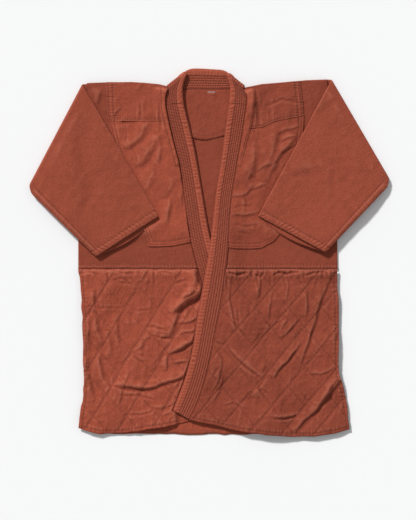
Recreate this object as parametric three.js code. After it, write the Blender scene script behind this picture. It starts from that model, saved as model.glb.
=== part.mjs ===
// A judo jacket laid flat on its back, both sleeves folded forward over the fronts.
// Millimetres: X across the jacket, Y from the hem to the neck, Z up from the surface it lies on.
// "left" and "right" are the wearer's: the right front is at -X and the left front, on top, at +X.

import * as THREE from 'three';

// ---- driving dimensions -------------------------------------------------------------------

const BODY_CLOTH = 2.2; // rice-grain weave of the body and sleeves
const SKIRT_CLOTH = 1.8; // quilted twill below the waist
const PATCH_CLOTH = 1.3; // smooth twill of the reinforcements
const YOKE_CLOTH = 1.2;
const LABEL_CLOTH = 0.6;
const PLY_GAP = 0.3; // between one layer and the next
const SEAM_GAP = 0.5; // between two pieces at a seam

const FRONT_REST = BODY_CLOTH + PLY_GAP; // underside of the fronts, on the back
const SKIRT_REST = SKIRT_CLOTH + PLY_GAP; // underside of the front skirts, on the back skirt
const YOKE_REST = BODY_CLOTH + PLY_GAP;
const YOKE_LIFT = YOKE_CLOTH + 1.4 * PLY_GAP; // how far the yoke raises the fronts
const YOKE_EASE = 60; // over how much cloth the fronts come down beside the yoke
const YOKE_EASE_FOOT = 185; // where the fronts leave the back below the yoke
const YOKE_EASE_SIDE = 160;

const SIDE_RIGHT = -289; // side seams, half of the 568 mm chest each way
const SIDE_LEFT = 280;
const WAIST = -35;
const WAIST_BAND = 10; // felled seam above the waist
const STRIP_FOOT = 191; // lower end of the strips beside the lapels
const COLLAR_FOOT = 325; // where the collar cover ends on the lapels
const COLLAR_SLANT = 3; // its end is this much higher at the free edge
const NECK_SEAM = 360;
const BACK_HEM = -399;

const LAPEL_HEIGHT = 5.9;
const LAPEL_ROLL = 1.6; // how much the unstitched roll stands above the ribs
const LAPEL_GROOVE = 0.8; // depth of a stitch row between two ribs
const LAPEL_RIBS = 5;
const RIB_START = 0.03; // shares of the lapel's width, from the seam
const ROLL_START = 0.63;
const ROLL_PROFILE = [[0.74, 0.8], [0.86, 1], [0.95, 0.2]]; // [share of width, share of the roll]
const EDGE_SHARE = 0.25; // the two long edges are rounded off by this share of the height
const FREE_EDGE_SHARE = 0.4;
const PRESSED = 0.92; // share of its height that is left where the left lapel lies on the right
const LAPEL_REACH = 45; // how far from a lapel its height still lifts the cloth
const SHOULDER_EASE = 335; // above this the fronts are held down by the shoulder seam
const SHOULDER_EASE_LENGTH = 30;

const QUILT_RISE = 1.6;
const RELIEF_EASE = 14; // the quilting and the folds start this far below the waist
const GATHER_PITCH = 23;
const GATHER_RISE = 0.9;
const GATHER_DEPTH = 30;
const COVERED_MARGIN = 8; // the right skirt is plain this far before its own lapel
const COVERED_REACH = 14; // and this far under the edge of the left one
const COVERED_EASE = 12;
const COVERED_SLOPE = 0.5; // how steeply its folds come down to the lapel
const OVER_HIDDEN_LAPEL = 8.8; // underside of the left skirt on top of the hidden lapel
const HIDDEN_LAPEL_SLANT = 0.93; // width across the slanting lapel against width along X
const HIDDEN_LAPEL_TOP = 27; // half width of the hump over it, and of its foot
const HIDDEN_LAPEL_EASE = 32;
const RIGHT_SKIRT_END = [30, 80]; // where the left skirt comes down beyond the right one

const SLEEVE_WALL = 2;
const SLEEVE_PINCH = 0.5; // between the two halves of a sleeve
const CUFF_LENS = 2.8; // extra gap in the middle of the cuff
const HEM_BAND = 14; // turned hem at the cuff
const HEM_RISE = 0.7;
const FELL_RISE = 0.8; // felled seam under the arm
const FOLD_CENTRE = 6.2; // height of the axis that a sleeve is folded over about
const FOLD_STEPS = 5;
const SLEEVE_COLUMNS = [0, 0.02, 0.085, 0.105, 0.25, 0.4, 0.55, 0.7, 0.85, 0.98, 1];
const SLEEVE_INSET = 0.013; // share of the width that the wall takes at each edge
const FELL_SHARE = 0.1; // share of the width that the underarm seam's band takes
const SLEEVE_EDGE_ROUND = 0.9; // the wall's height is cut by this at the two long edges
const FELL_EASE = 20;
const LENS_START = 90; // the cuff's two layers part from here on, past the fold
const LIFT_EASE = 60;

const FRONT_ROWS = [1, 1, 3, 14, 1, 6]; // cells between waist, band, foot, patches and shoulder
const ARMHOLE_CELLS = 4; // cells from the armhole to the patches, to the strip and to the lapel
const PATCH_CELLS = 7;
const STRIP_CELLS = 2;
const SKIRT_CELLS = { right: [22, 4], rightRows: 30, left: 25, leftRows: 31 };

const TERRACOTTA = '#a5533f';
const TERRACOTTA_SMOOTH = '#a85642';
const LABEL_GREY = '#a9a29e';

// ---- tables -------------------------------------------------------------------------------
// Each row is [y, value]; a smooth curve runs through the rows.

const RIGHT_SEAM = [ // lapel to right front and skirt
  [400, -95], [366, -96], [344, -97.5], [322, -97], [260, -84], [192, -67], [107, -54],
  [47, -46], [-9, -33], [-66, -16], [-182, 31], [-340, 95],
];
const RIGHT_EDGE = [ // free edge of the right lapel
  [400, -54], [383, -58], [366, -60.5], [348, -59.5], [328, -57], [268, -42], [218, -31],
  [161, -21], [114, -13], [56, -3], [3, 10], [-49, 25], [-165, 73], [-320, 136],
];
const RIGHT_REST = [ // underside of the right lapel
  [400, 10], [325, 10], [262, 6.2], [220, 4.6], [180, 3.2], [140, 2.7], [-340, 2.6],
];
const LEFT_SEAM = [
  [400, 76], [362, 78], [344, 81.5], [321, 80.5], [257, 71], [205, 61.5], [161, 54], [122, 48],
  [84, 44.5], [40, 41.5], [-9, 38], [-70, 31.5], [-119, 23.5], [-178, 11.5], [-237, 0],
  [-286, -12], [-330, -27], [-366, -44],
];
const LEFT_EDGE = [
  [400, 42], [372, 46], [337, 43], [321, 41], [257, 32], [205, 25.5], [161, 18], [122, 12],
  [84, 8], [40, 3], [-9, -4], [-70, -15], [-119, -24], [-178, -33], [-237, -44], [-286, -58.5],
  [-345, -81],
];
const LEFT_REST = [
  [400, 10], [321, 10], [257, 6.4], [205, 4.8], [161, 4.6], [122, 5.4], [84, 7.4], [40, 9.3],
  [-9, 9.3], [-119, 9.3], [-178, 8.9], [-237, 6.2], [-286, 4.9], [-366, 4.5],
];
const LAPEL_PRESS = [ // share of its full height, where the left lapel lies across the right one
  [400, 1], [80, 1], [40, PRESSED], [-340, PRESSED],
];
const RIGHT_ARMHOLE = [[372, -270], [245, -280], [117, -288.5], [29, SIDE_RIGHT], [-60, SIDE_RIGHT]];
const LEFT_ARMHOLE = [[382, 258], [250, 270], [125, 279.5], [29, SIDE_LEFT], [-60, SIDE_LEFT]];
const RIGHT_PATCH_SIDE = [[372, -227], [284, -221], [130, -176], [60, -148], [24, -136], [-60, -136]];
const LEFT_PATCH_SIDE = [[382, 198], [284, 206], [130, 182], [60, 166], [24, 158], [-60, 158]];
const RIGHT_STRIP_SIDE = [[372, -109], [321, -108], [276, -99], [245, -91], [191, -77], [-60, -30]];
const LEFT_STRIP_SIDE = [[382, 99], [321, 98], [284, 92], [245, 81], [191, 68.5], [-60, 46]];
const RIGHT_SKIRT_SIDE = [
  [-30, -289], [-75, -284], [-154, -279], [-266, -277], [-310, -278], [-348, -283], [-400, -290],
];
const LEFT_SKIRT_SIDE = [
  [-30, 280], [-119, 282], [-224, 283], [-268, 285], [-290, 292], [-325, 299], [-400, 309],
];

// Each row is [x, y].
const RIGHT_PATCH_FOOT = [[-140, 16], [-132, 14], [-86, 15.4], [-52, 21.6], [-40, 24]];
const LEFT_PATCH_FOOT = [[40, 12], [62, 9.5], [110, 10.6], [126, 18], [141, 26.5], [151, 39], [158, 48]];
const RIGHT_SHOULDER_PATCH_FOOT = [[-240, 289], [-60, 289]];
const LEFT_SHOULDER_PATCH_FOOT = [[84, 272], [115, 275], [142, 288], [206, 301]];
const RIGHT_SHOULDER = [
  [-290, 372], [-234, 374], [-173, 375], [-140, 373], [-111, 370], [-96, 366], [-80, 362],
];
const LEFT_SHOULDER = [[60, 362], [79, 363], [113, 370], [181, 376], [212, 379], [290, 382]];
const RIGHT_HEM = [
  [-295, -381], [-277, -388], [-242, -398], [-183, -396], [-136, -387], [-106, -384], [-65, -376],
  [-30, -366], [40, -352], [95, -340],
];
const LEFT_HEM = [
  [-46, -366], [-22, -373], [7, -378], [37, -385], [81, -394], [125, -400], [169, -403],
  [228, -404], [273, -397], [310, -386],
];
const BACK_NECK = [
  [-100, 366], [-96, NECK_SEAM - 2], [-60, NECK_SEAM - 1], [0, NECK_SEAM - 2], [60, NECK_SEAM - 1],
  [80, NECK_SEAM - 2], [84, 364],
];

// Each row is [x0, y0, x1, y1, height, half width]: a soft ridge from one end to the other.
const RIGHT_FRONT_FOLDS = [
  [-153, 345, -150, 292, 1.3, 10], [-120, 262, -136, 176, 1.4, 13], [-98, 205, -112, 120, 1.2, 13],
  [-98, 62, -70, 118, 1.1, 12],
];
const LEFT_FRONT_FOLDS = [
  [152, 294, 150, 215, 1.5, 12], [104, 262, 82, 150, 1.7, 14], [178, 322, 150, 344, 1.1, 10],
  [92, 92, 84, 44, 1.1, 12],
];
const RIGHT_SKIRT_FOLDS = [
  [-24, -48, -66, -114, 10.5, 13], [-62, -124, -86, -180, 5, 9], [-46, -188, -92, -214, 6, 12],
  [-58, -256, -134, -288, 6.5, 12], [-42, -160, -66, -163, 3, 8], [-120, -46, -120, -78, 1.5, 8],
  [-242, -86, -238, -196, 2.5, 16], [-110, -352, -170, -356, 2, 9], [-225, -228, -240, -290, 2, 12],
];
const LEFT_SKIRT_FOLDS = [
  [278, -284, 242, -322, 7, 12], [238, -330, 196, -374, 7, 12], [244, -103, 218, -191, 3.4, 11],
  [220, -192, 205, -232, 3, 11], [202, -200, 147, -266, 3, 11], [189, -150, 158, -186, 2.6, 10],
  [141, -86, 132, -148, 2.6, 10], [172, -56, 167, -100, 2.4, 9], [212, -92, 214, -148, 2.2, 10],
  [70, -240, 106, -268, 2.6, 11], [118, -360, 190, -358, 2.6, 10], [46, -75, 62, -170, 2, 9],
];

// Quilting: diamonds whose stitched sides run along two steps from a crossing of the lines.
const RIGHT_QUILT = { origin: [-185, -121], falling: [-29, -47.5], rising: [44, -47.5] };
const LEFT_QUILT = { origin: [99, -121], falling: [-36.5, -43], rising: [36.5, -43] };

// Sleeves: corners of the folded cuff, ends of the visible fold, and the armhole.
const RIGHT_SLEEVE = {
  shoulder: [-279, 373], foldEnd: [-400, 143], cuffUnder: [-250, -8], cuffTop: [-113, 80],
  armholeTop: [-270, 371.5], armpit: [-288.5, 117], underarmLift: 3,
};
const LEFT_SLEEVE = {
  shoulder: [267, 382], foldEnd: [400, 154], cuffUnder: [254, 1], cuffTop: [106, 81],
  armholeTop: [258, 381], armpit: [279.5, 125], underarmLift: 6,
};

// ---- small mathematics --------------------------------------------------------------------

const lerp = (a, b, t) => a + (b - a) * t;
const mix = (p, q, t) => p.map((value, axis) => lerp(value, q[axis], t));
const clamp01 = (t) => Math.min(1, Math.max(0, t));
const smooth = (t) => clamp01(t) ** 2 * (3 - 2 * clamp01(t));
const steps = (count) => Array.from({ length: count + 1 }, (_, index) => index / count);

/** Smooth value of a two-column table at one place; past its ends the table runs on level. */
function tableAt(table, place) {
  const rows = table[0][0] <= table[table.length - 1][0] ? table : [...table].reverse();
  const last = rows.length - 1;
  if (place <= rows[0][0]) return rows[0][1];
  if (place >= rows[last][0]) return rows[last][1];
  const i = rows.findIndex((row) => row[0] > place) - 1;
  const slope = (k) => {
    const before = rows[Math.max(0, k - 1)];
    const after = rows[Math.min(last, k + 1)];
    return (after[1] - before[1]) / (after[0] - before[0]);
  };
  const span = rows[i + 1][0] - rows[i][0];
  const t = (place - rows[i][0]) / span;
  const bend = (1 - t) * t * ((1 - t) * slope(i) - t * slope(i + 1)) * span;
  return lerp(rows[i][1], rows[i + 1][1], t * t * (3 - 2 * t)) + bend;
}

/** Straight-line value of a table, for outlines with real corners. */
function lineAt(table, place) {
  const last = table.length - 1;
  if (place <= table[0][0]) return table[0][1];
  if (place >= table[last][0]) return table[last][1];
  const i = table.findIndex((row) => row[0] > place) - 1;
  return lerp(table[i][1], table[i + 1][1], (place - table[i][0]) / (table[i + 1][0] - table[i][0]));
}

/** Height of a list of soft ridges at a point. */
function foldsAt(folds, x, y) {
  let height = 0;
  for (const [x0, y0, x1, y1, rise, width] of folds) {
    const length = Math.hypot(x1 - x0, y1 - y0);
    const along = ((x - x0) * (x1 - x0) + (y - y0) * (y1 - y0)) / length;
    const across = ((x - x0) * (y1 - y0) - (y - y0) * (x1 - x0)) / length;
    const ends = smooth((along + width) / (2 * width)) * smooth((length - along + width) / (2 * width));
    height += rise * Math.exp(-((across / width) ** 2)) * ends;
  }
  return height;
}

/** Puffed diamonds between stitched lines. */
function quiltAt({ origin, falling, rising }, x, y) {
  const dx = x - origin[0];
  const dy = y - origin[1];
  const area = falling[0] * rising[1] - falling[1] * rising[0];
  const along = (dx * rising[1] - dy * rising[0]) / area;
  const across = (falling[0] * dy - falling[1] * dx) / area;
  return QUILT_RISE * Math.sqrt(Math.abs(Math.sin(Math.PI * along) * Math.sin(Math.PI * across)));
}

// ---- closed bodies ------------------------------------------------------------------------

const cloth = (color) => new THREE.MeshStandardMaterial({ color, roughness: 0.95, metalness: 0 });

/** Six times the volume that a closed set of triangles holds; negative when it is inside out. */
function signedVolume(points, faces) {
  return faces.reduce((sum, [a, b, c]) => {
    const [p, q, r] = [points[a], points[b], points[c]];
    return sum + p[0] * (q[1] * r[2] - q[2] * r[1]) + p[1] * (q[2] * r[0] - q[0] * r[2])
      + p[2] * (q[0] * r[1] - q[1] * r[0]);
  }, 0);
}

function closedMesh(name, color, points, faces) {
  const outward = signedVolume(points, faces) > 0 ? faces : faces.map(([a, b, c]) => [a, c, b]);
  const geometry = new THREE.BufferGeometry();
  geometry.setAttribute('position', new THREE.Float32BufferAttribute(points.flat(), 3));
  geometry.setIndex(outward.flat());
  geometry.computeVertexNormals();
  const mesh = new THREE.Mesh(geometry, cloth(color));
  mesh.name = name;
  return mesh;
}

/**
 * Two triangles for each pair of neighbours in two equal closed rings. From the point turnFrom
 * on, where a ring runs back, they are split the other way, so that both faces of a wall match.
 */
function ringBand(count, first, second, turnFrom = count) {
  const faces = [];
  for (let i = 0; i < count; i++) {
    const next = (i + 1) % count;
    if (i < turnFrom) {
      faces.push([first + i, first + next, second + next], [first + i, second + next, second + i]);
    } else {
      faces.push([first + i, first + next, second + i], [first + next, second + next, second + i]);
    }
  }
  return faces;
}

/** Triangles that close one end: a strip between a ring's upper points and those under them. */
function cap(ring, upperCount, offset, turned) {
  const across = (index) => Math.hypot(ring[index][0] - ring[0][0], ring[index][1] - ring[0][1]);
  const faces = [];
  let upper = 0;
  let under = ring.length - 1;
  while (upper < upperCount - 1 || under > upperCount) {
    const nextUpper = upper < upperCount - 1 ? across(upper + 1) : Infinity;
    const nextUnder = under > upperCount ? across(under - 1) : Infinity;
    if (nextUpper <= nextUnder) {
      faces.push([upper, upper + 1, under]);
      upper += 1;
    } else {
      faces.push([upper, under - 1, under]);
      under -= 1;
    }
  }
  return faces
    .map((corners) => corners.map((corner) => corner + offset))
    .map(([a, b, c]) => (turned ? [a, c, b] : [a, b, c]));
}

/** One body through equal rings; a ring runs over its upper points and back under them. */
function loft(name, color, rings, upperCount) {
  const count = rings[0].length;
  const points = rings.flat();
  const faces = [];
  for (let r = 0; r + 1 < rings.length; r++) {
    faces.push(...ringBand(count, r * count, (r + 1) * count, upperCount));
  }
  const lastRing = rings.length - 1;
  faces.push(...cap(rings[0], upperCount, 0, true));
  faces.push(...cap(rings[lastRing], upperCount, lastRing * count, false));
  return closedMesh(name, color, points, faces);
}

/** A flat piece of one thickness, cut to an outline. */
function flatPiece(name, color, outline, rest, thickness) {
  const shape = new THREE.Shape(outline.map(([x, y]) => new THREE.Vector2(x, y)));
  const geometry = new THREE.ExtrudeGeometry(shape, { depth: thickness, bevelEnabled: false });
  const mesh = new THREE.Mesh(geometry, cloth(color));
  mesh.name = name;
  mesh.position.z = rest;
  return mesh;
}

// ---- panels -------------------------------------------------------------------------------

/** Stations along one direction of a panel: which pair of guide lines, and how far between them. */
function stationsOf(cells) {
  const stations = cells.flatMap((count, gap) => steps(count).slice(0, -1).map((share) => [gap, share]));
  return [...stations, [cells.length - 1, 1]];
}

/**
 * The points of a panel in plan. Uprights give x at a height y, levels give y at a place x, and
 * columns and rows are the cells between each pair of them.
 */
function panelPlan({ uprights, levels, columns, rows }) {
  return stationsOf(rows).map(([level, up]) => stationsOf(columns).map(([upright, across]) => {
    let x = 0;
    let y = 0;
    for (let pass = 0; pass < 8; pass++) {
      y = lerp(levels[level](x), levels[level + 1](x), up);
      x = lerp(uprights[upright](y), uprights[upright + 1](y), across);
    }
    return [x, y];
  }));
}

/** A cloth wall on part of a plan: its underside at rest(x, y), its face at face(x, y). */
function wall(name, color, plan, { rest, face, stride = 1, from = [0, 0], to = [Infinity, Infinity] }) {
  const rings = plan.slice(from[1], to[1] + 1).map((row) => {
    const points = row.slice(from[0], to[0] + 1);
    const last = points.length - 1;
    const under = points.filter((_, index) => index % stride === 0 || index === last).reverse();
    return [
      ...points.map(([x, y]) => [x, y, face(x, y)]),
      ...under.map(([x, y]) => [x, y, rest(x, y)]),
    ];
  });
  const upperCount = Math.min(to[0], plan[0].length - 1) - from[0] + 1;
  return loft(name, color, rings, upperCount);
}

/** How much a point is inside the two ends of a range that fades over a margin. */
const fadeAbove = (value, start, margin) => smooth((value - start) / margin);

const yokeCover = (x, y) => (
  fadeAbove(y, YOKE_EASE_FOOT, YOKE_EASE) * (1 - fadeAbove(Math.abs(x), YOKE_EASE_SIDE, YOKE_EASE)));
const shoulderFade = (y) => 1 - fadeAbove(y, SHOULDER_EASE, SHOULDER_EASE_LENGTH);

function frontRest(side, x, y) {
  const seam = tableAt(side < 0 ? RIGHT_SEAM : LEFT_SEAM, y);
  const rest = tableAt(side < 0 ? RIGHT_REST : LEFT_REST, y);
  const reach = 1 - smooth((side * (x - seam)) / LAPEL_REACH);
  const lapelLift = (rest - FRONT_REST) * reach * shoulderFade(y);
  return FRONT_REST + Math.max(lapelLift, YOKE_LIFT * yokeCover(x, y));
}

/** One front with the patches and the strip that lie on it, all made from the front's points. */
function front(side) {
  const right = side < 0;
  const word = right ? 'right' : 'left';
  const folds = right ? RIGHT_FRONT_FOLDS : LEFT_FRONT_FOLDS;
  const seam = (y) => tableAt(right ? RIGHT_SEAM : LEFT_SEAM, y) + side * SEAM_GAP;
  const strip = (y) => tableAt(right ? RIGHT_STRIP_SIDE : LEFT_STRIP_SIDE, y);
  const patch = (y) => tableAt(right ? RIGHT_PATCH_SIDE : LEFT_PATCH_SIDE, y);
  const armhole = (y) => tableAt(right ? RIGHT_ARMHOLE : LEFT_ARMHOLE, y);
  const foot = (x) => lineAt(right ? RIGHT_PATCH_FOOT : LEFT_PATCH_FOOT, x);
  const shoulderFoot = (x) => lineAt(right ? RIGHT_SHOULDER_PATCH_FOOT : LEFT_SHOULDER_PATCH_FOOT, x);
  const levels = [
    () => WAIST + SEAM_GAP,
    () => WAIST + WAIST_BAND - SEAM_GAP,
    () => WAIST + WAIST_BAND,
    foot,
    (x) => shoulderFoot(x) - SEAM_GAP,
    shoulderFoot,
    (x) => lineAt(right ? RIGHT_SHOULDER : LEFT_SHOULDER, x),
  ];
  const uprights = [armhole, patch, strip, seam];
  const columns = [ARMHOLE_CELLS, PATCH_CELLS, STRIP_CELLS];
  const plan = panelPlan(right
    ? { uprights, levels, columns, rows: FRONT_ROWS }
    : { uprights: uprights.reverse(), levels, columns: columns.reverse(), rows: FRONT_ROWS });
  const bandRise = (y) => (y < WAIST + WAIST_BAND - SEAM_GAP / 2 ? FELL_RISE : 0);
  const rest = (x, y) => frontRest(side, x, y) + foldsAt(folds, x, y);
  const face = (x, y) => rest(x, y) + BODY_CLOTH;
  const patchRest = (x, y) => face(x, y) + PLY_GAP;
  const patchFace = (x, y) => patchRest(x, y) + PATCH_CLOTH;
  const stripRest = (x, y) => patchFace(x, y) + PLY_GAP;
  const stripFace = (x, y) => stripRest(x, y) + PATCH_CLOTH;
  const allColumns = ARMHOLE_CELLS + PATCH_CELLS + STRIP_CELLS;
  const beside = (cells) => (right ? [allColumns - cells, allColumns] : [0, cells]);
  const over = (cells, firstRow, lastRow) => ({
    from: [beside(cells)[0], firstRow],
    to: [beside(cells)[1], lastRow],
  });
  const rowAt = (level) => FRONT_ROWS.slice(0, level).reduce((sum, cells) => sum + cells, 0);
  const [footRow, patchTop, shoulderRow, topRow] = [3, 4, 5, 6].map(rowAt);
  const stripRow = plan.findIndex((row) => row[0][1] > STRIP_FOOT);
  const patchCells = PATCH_CELLS + STRIP_CELLS;
  return [
    wall(`front_${word}`, TERRACOTTA, plan, { rest, face: (x, y) => face(x, y) + bandRise(y), stride: 2 }),
    wall(`chest_patch_${word}`, TERRACOTTA_SMOOTH, plan, {
      rest: patchRest, face: patchFace, ...over(patchCells, footRow, patchTop),
    }),
    wall(`shoulder_patch_${word}`, TERRACOTTA_SMOOTH, plan, {
      rest: patchRest, face: patchFace, ...over(patchCells, shoulderRow, topRow),
    }),
    wall(`neck_strip_${word}`, TERRACOTTA_SMOOTH, plan, {
      rest: stripRest, face: stripFace, ...over(STRIP_CELLS, stripRow, topRow - 1),
    }),
  ];
}

function skirtRight() {
  const seam = (y) => tableAt(RIGHT_SEAM, y) - SEAM_GAP;
  const covered = (y) => Math.min(tableAt(LEFT_EDGE, y) + COVERED_REACH, seam(y) - COVERED_MARGIN);
  const side = (y) => tableAt(RIGHT_SKIRT_SIDE, y);
  const plan = panelPlan({
    uprights: [side, covered, seam],
    levels: [() => WAIST, (x) => lineAt(RIGHT_HEM, x)],
    columns: SKIRT_CELLS.right,
    rows: [SKIRT_CELLS.rightRows],
  });
  const face = (x, y) => {
    const shown = smooth((covered(y) - x) / COVERED_EASE) * smooth((WAIST - y) / RELIEF_EASE);
    const relief = (quiltAt(RIGHT_QUILT, x, y) + foldsAt(RIGHT_SKIRT_FOLDS, x, y)) * shown;
    const underLapel = tableAt(LEFT_REST, y) - PLY_GAP - SKIRT_REST - SKIRT_CLOTH;
    const beforeLapel = Math.max(0, tableAt(LEFT_EDGE, y) - COVERED_MARGIN - x);
    return SKIRT_REST + SKIRT_CLOTH + Math.min(relief, underLapel + beforeLapel * COVERED_SLOPE);
  };
  return wall('skirt_right', TERRACOTTA, plan, { rest: () => SKIRT_REST, face, stride: 3 });
}

/** The left skirt lies over the right one and over the hidden end of the right lapel. */
function skirtLeft() {
  const seam = (y) => tableAt(LEFT_SEAM, y) + SEAM_GAP;
  const side = (y) => tableAt(LEFT_SKIRT_SIDE, y);
  const plan = panelPlan({
    uprights: [seam, side],
    levels: [() => WAIST, (x) => lineAt(LEFT_HEM, x)],
    columns: [SKIRT_CELLS.left],
    rows: [SKIRT_CELLS.leftRows],
  });
  const onRightSkirt = SKIRT_REST + SKIRT_CLOTH + PLY_GAP;
  const rest = (x, y) => {
    const middle = (tableAt(RIGHT_SEAM, y) + tableAt(RIGHT_EDGE, y)) / 2;
    const aside = (x - middle) * HIDDEN_LAPEL_SLANT;
    const [endStart, endStop] = RIGHT_SKIRT_END;
    const base = lerp(onRightSkirt, SKIRT_REST, smooth((aside - endStart) / (endStop - endStart)));
    const hump = 1 - smooth((Math.abs(aside) - HIDDEN_LAPEL_TOP) / HIDDEN_LAPEL_EASE);
    const bump = (OVER_HIDDEN_LAPEL - base) * hump;
    const atLapel = (tableAt(LEFT_REST, y) - base) * (1 - smooth((x - seam(y)) / LAPEL_REACH));
    return base + Math.max(bump, atLapel, 0);
  };
  const face = (x, y) => {
    const shown = smooth((WAIST - y) / RELIEF_EASE);
    const gather = GATHER_RISE * Math.cos((2 * Math.PI * x) / GATHER_PITCH)
      * (1 - smooth((WAIST - y) / GATHER_DEPTH));
    const relief = quiltAt(LEFT_QUILT, x, y) + foldsAt(LEFT_SKIRT_FOLDS, x, y) + GATHER_RISE + gather;
    return rest(x, y) + SKIRT_CLOTH + relief * shown;
  };
  return wall('skirt_left', TERRACOTTA, plan, { rest, face });
}

// ---- lapels and collar --------------------------------------------------------------------

/** Across a lapel from its seam to its free edge: share of the width, and relief on its face. */
function lapelStations() {
  const pitch = (ROLL_START - RIB_START) / LAPEL_RIBS;
  const ribs = steps(LAPEL_RIBS).slice(0, -1).flatMap((_, rib) => [
    [RIB_START + rib * pitch, -LAPEL_GROOVE],
    [RIB_START + (rib + 0.5) * pitch, 0],
  ]);
  const roll = ROLL_PROFILE.map(([share, rise]) => [share, rise * LAPEL_ROLL]);
  return [...ribs, [ROLL_START, -LAPEL_GROOVE], ...roll];
}

const STATIONS = lapelStations();

function lapelRing(seam, edge, rest, press) {
  const height = LAPEL_HEIGHT * press;
  const rollShare = smooth((press - PRESSED) / (1 - PRESSED));
  const at = (share, z) => [...mix(seam, edge, share), rest + z];
  return [
    at(0, height * (1 - EDGE_SHARE)),
    ...STATIONS.map(([share, relief]) => at(share, height + (relief > 0 ? relief * rollShare : relief))),
    at(1, height * (1 - FREE_EDGE_SHARE)),
    at(1, height * EDGE_SHARE),
    at(1 - RIB_START, 0),
    at(0.5, 0),
    at(0, 0),
  ];
}

function lapel(name, seamTable, edgeTable, restTable, seamEnds, edgeEnds, count) {
  const rings = steps(count).map((share) => {
    const seamY = lerp(...seamEnds, share);
    const edgeY = lerp(...edgeEnds, share);
    const seam = [tableAt(seamTable, seamY), seamY];
    const edge = [tableAt(edgeTable, edgeY), edgeY];
    const middle = (seamY + edgeY) / 2;
    return lapelRing(seam, edge, tableAt(restTable, middle), tableAt(LAPEL_PRESS, middle));
  });
  return loft(name, TERRACOTTA, rings, STATIONS.length + 2);
}

// The collar cover runs up from one lapel, folds under itself at the side of the neck, crosses
// behind the neck inside out and folds up again onto the other lapel.
const COLLAR_REST = 10; // underside of the collar in front
const COLLAR_AXIS = (COLLAR_REST + LAPEL_HEIGHT) / 2;
const COLLAR_FRONT_SHARES = [0, 0.3, 0.6, 0.85, 1]; // rings between the cover's end and the fold
const COLLAR_BENDS = 6;
const COLLAR_BACK = [ // [seam x, seam y, edge x, edge y]; the first and last rows are the folds
  [-91, 361, -50, 393], [-75, 360.5, -47, 401], [-57, 360, -37, 404.5], [-36, 360, -20, 405],
  [-6, 360, -3, 404], [24, 360, 14, 403], [45, 360.5, 26, 401.5], [60, 361, 33, 398],
  [73, 361, 36, 390],
];

/** A ring of the collar; turn runs from 0 in front to pi behind the neck. */
function collarRing(seam, edge, outward, turn) {
  const back = smooth(turn / Math.PI);
  const at = (share, height) => {
    const radius = COLLAR_REST + height - COLLAR_AXIS;
    const [x, y] = mix(seam, edge, share);
    const reach = radius * Math.sin(turn);
    return [x + outward[0] * reach, y + outward[1] * reach, COLLAR_AXIS + radius * Math.cos(turn)];
  };
  const outer = STATIONS.map(([share, relief]) => at(share, LAPEL_HEIGHT + relief * (1 - back)));
  const inner = STATIONS.map(([share, relief]) => at(share, -relief * back)).reverse();
  return [
    at(0, LAPEL_HEIGHT * (1 - EDGE_SHARE)), ...outer, at(1, LAPEL_HEIGHT * (1 - EDGE_SHARE)),
    at(1, LAPEL_HEIGHT * EDGE_SHARE), ...inner, at(0, LAPEL_HEIGHT * EDGE_SHARE),
  ];
}

function collar() {
  const frontPart = (seamTable, edgeTable, fold) => COLLAR_FRONT_SHARES.map((share) => {
    const seamY = lerp(COLLAR_FOOT, fold[1], share);
    const edgeY = lerp(COLLAR_FOOT + COLLAR_SLANT, fold[3], share);
    const seam = [lerp(tableAt(seamTable, seamY), fold[0], share ** 3), seamY];
    const edge = [lerp(tableAt(edgeTable, edgeY), fold[2], share ** 3), edgeY];
    return collarRing(seam, edge, [0, 0], 0);
  });
  const turns = steps(COLLAR_BENDS).slice(1, -1).map((share) => share * Math.PI);
  const bend = (fold, side) => turns.map((turn) => {
    const along = new THREE.Vector2(fold[2] - fold[0], fold[3] - fold[1]).normalize();
    const outward = [side * Math.abs(along.y), Math.abs(along.x)];
    return collarRing(fold.slice(0, 2), fold.slice(2), outward, turn);
  });
  const first = COLLAR_BACK[0];
  const last = COLLAR_BACK[COLLAR_BACK.length - 1];
  const rings = [
    ...frontPart(RIGHT_SEAM, RIGHT_EDGE, first),
    ...bend(first, -1),
    ...COLLAR_BACK.map((row) => collarRing(row.slice(0, 2), row.slice(2), [0, 0], Math.PI)),
    ...bend(last, 1).reverse(),
    ...frontPart(LEFT_SEAM, LEFT_EDGE, last).reverse(),
  ];
  return loft('collar', TERRACOTTA, rings, STATIONS.length + 2);
}

// ---- sleeves ------------------------------------------------------------------------------

const SLEEVE_MIDDLE = SLEEVE_WALL + SLEEVE_PINCH / 2;
const FOLD_LENGTH = Math.PI * (FOLD_CENTRE - SLEEVE_MIDDLE); // cloth that the fold takes up

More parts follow.
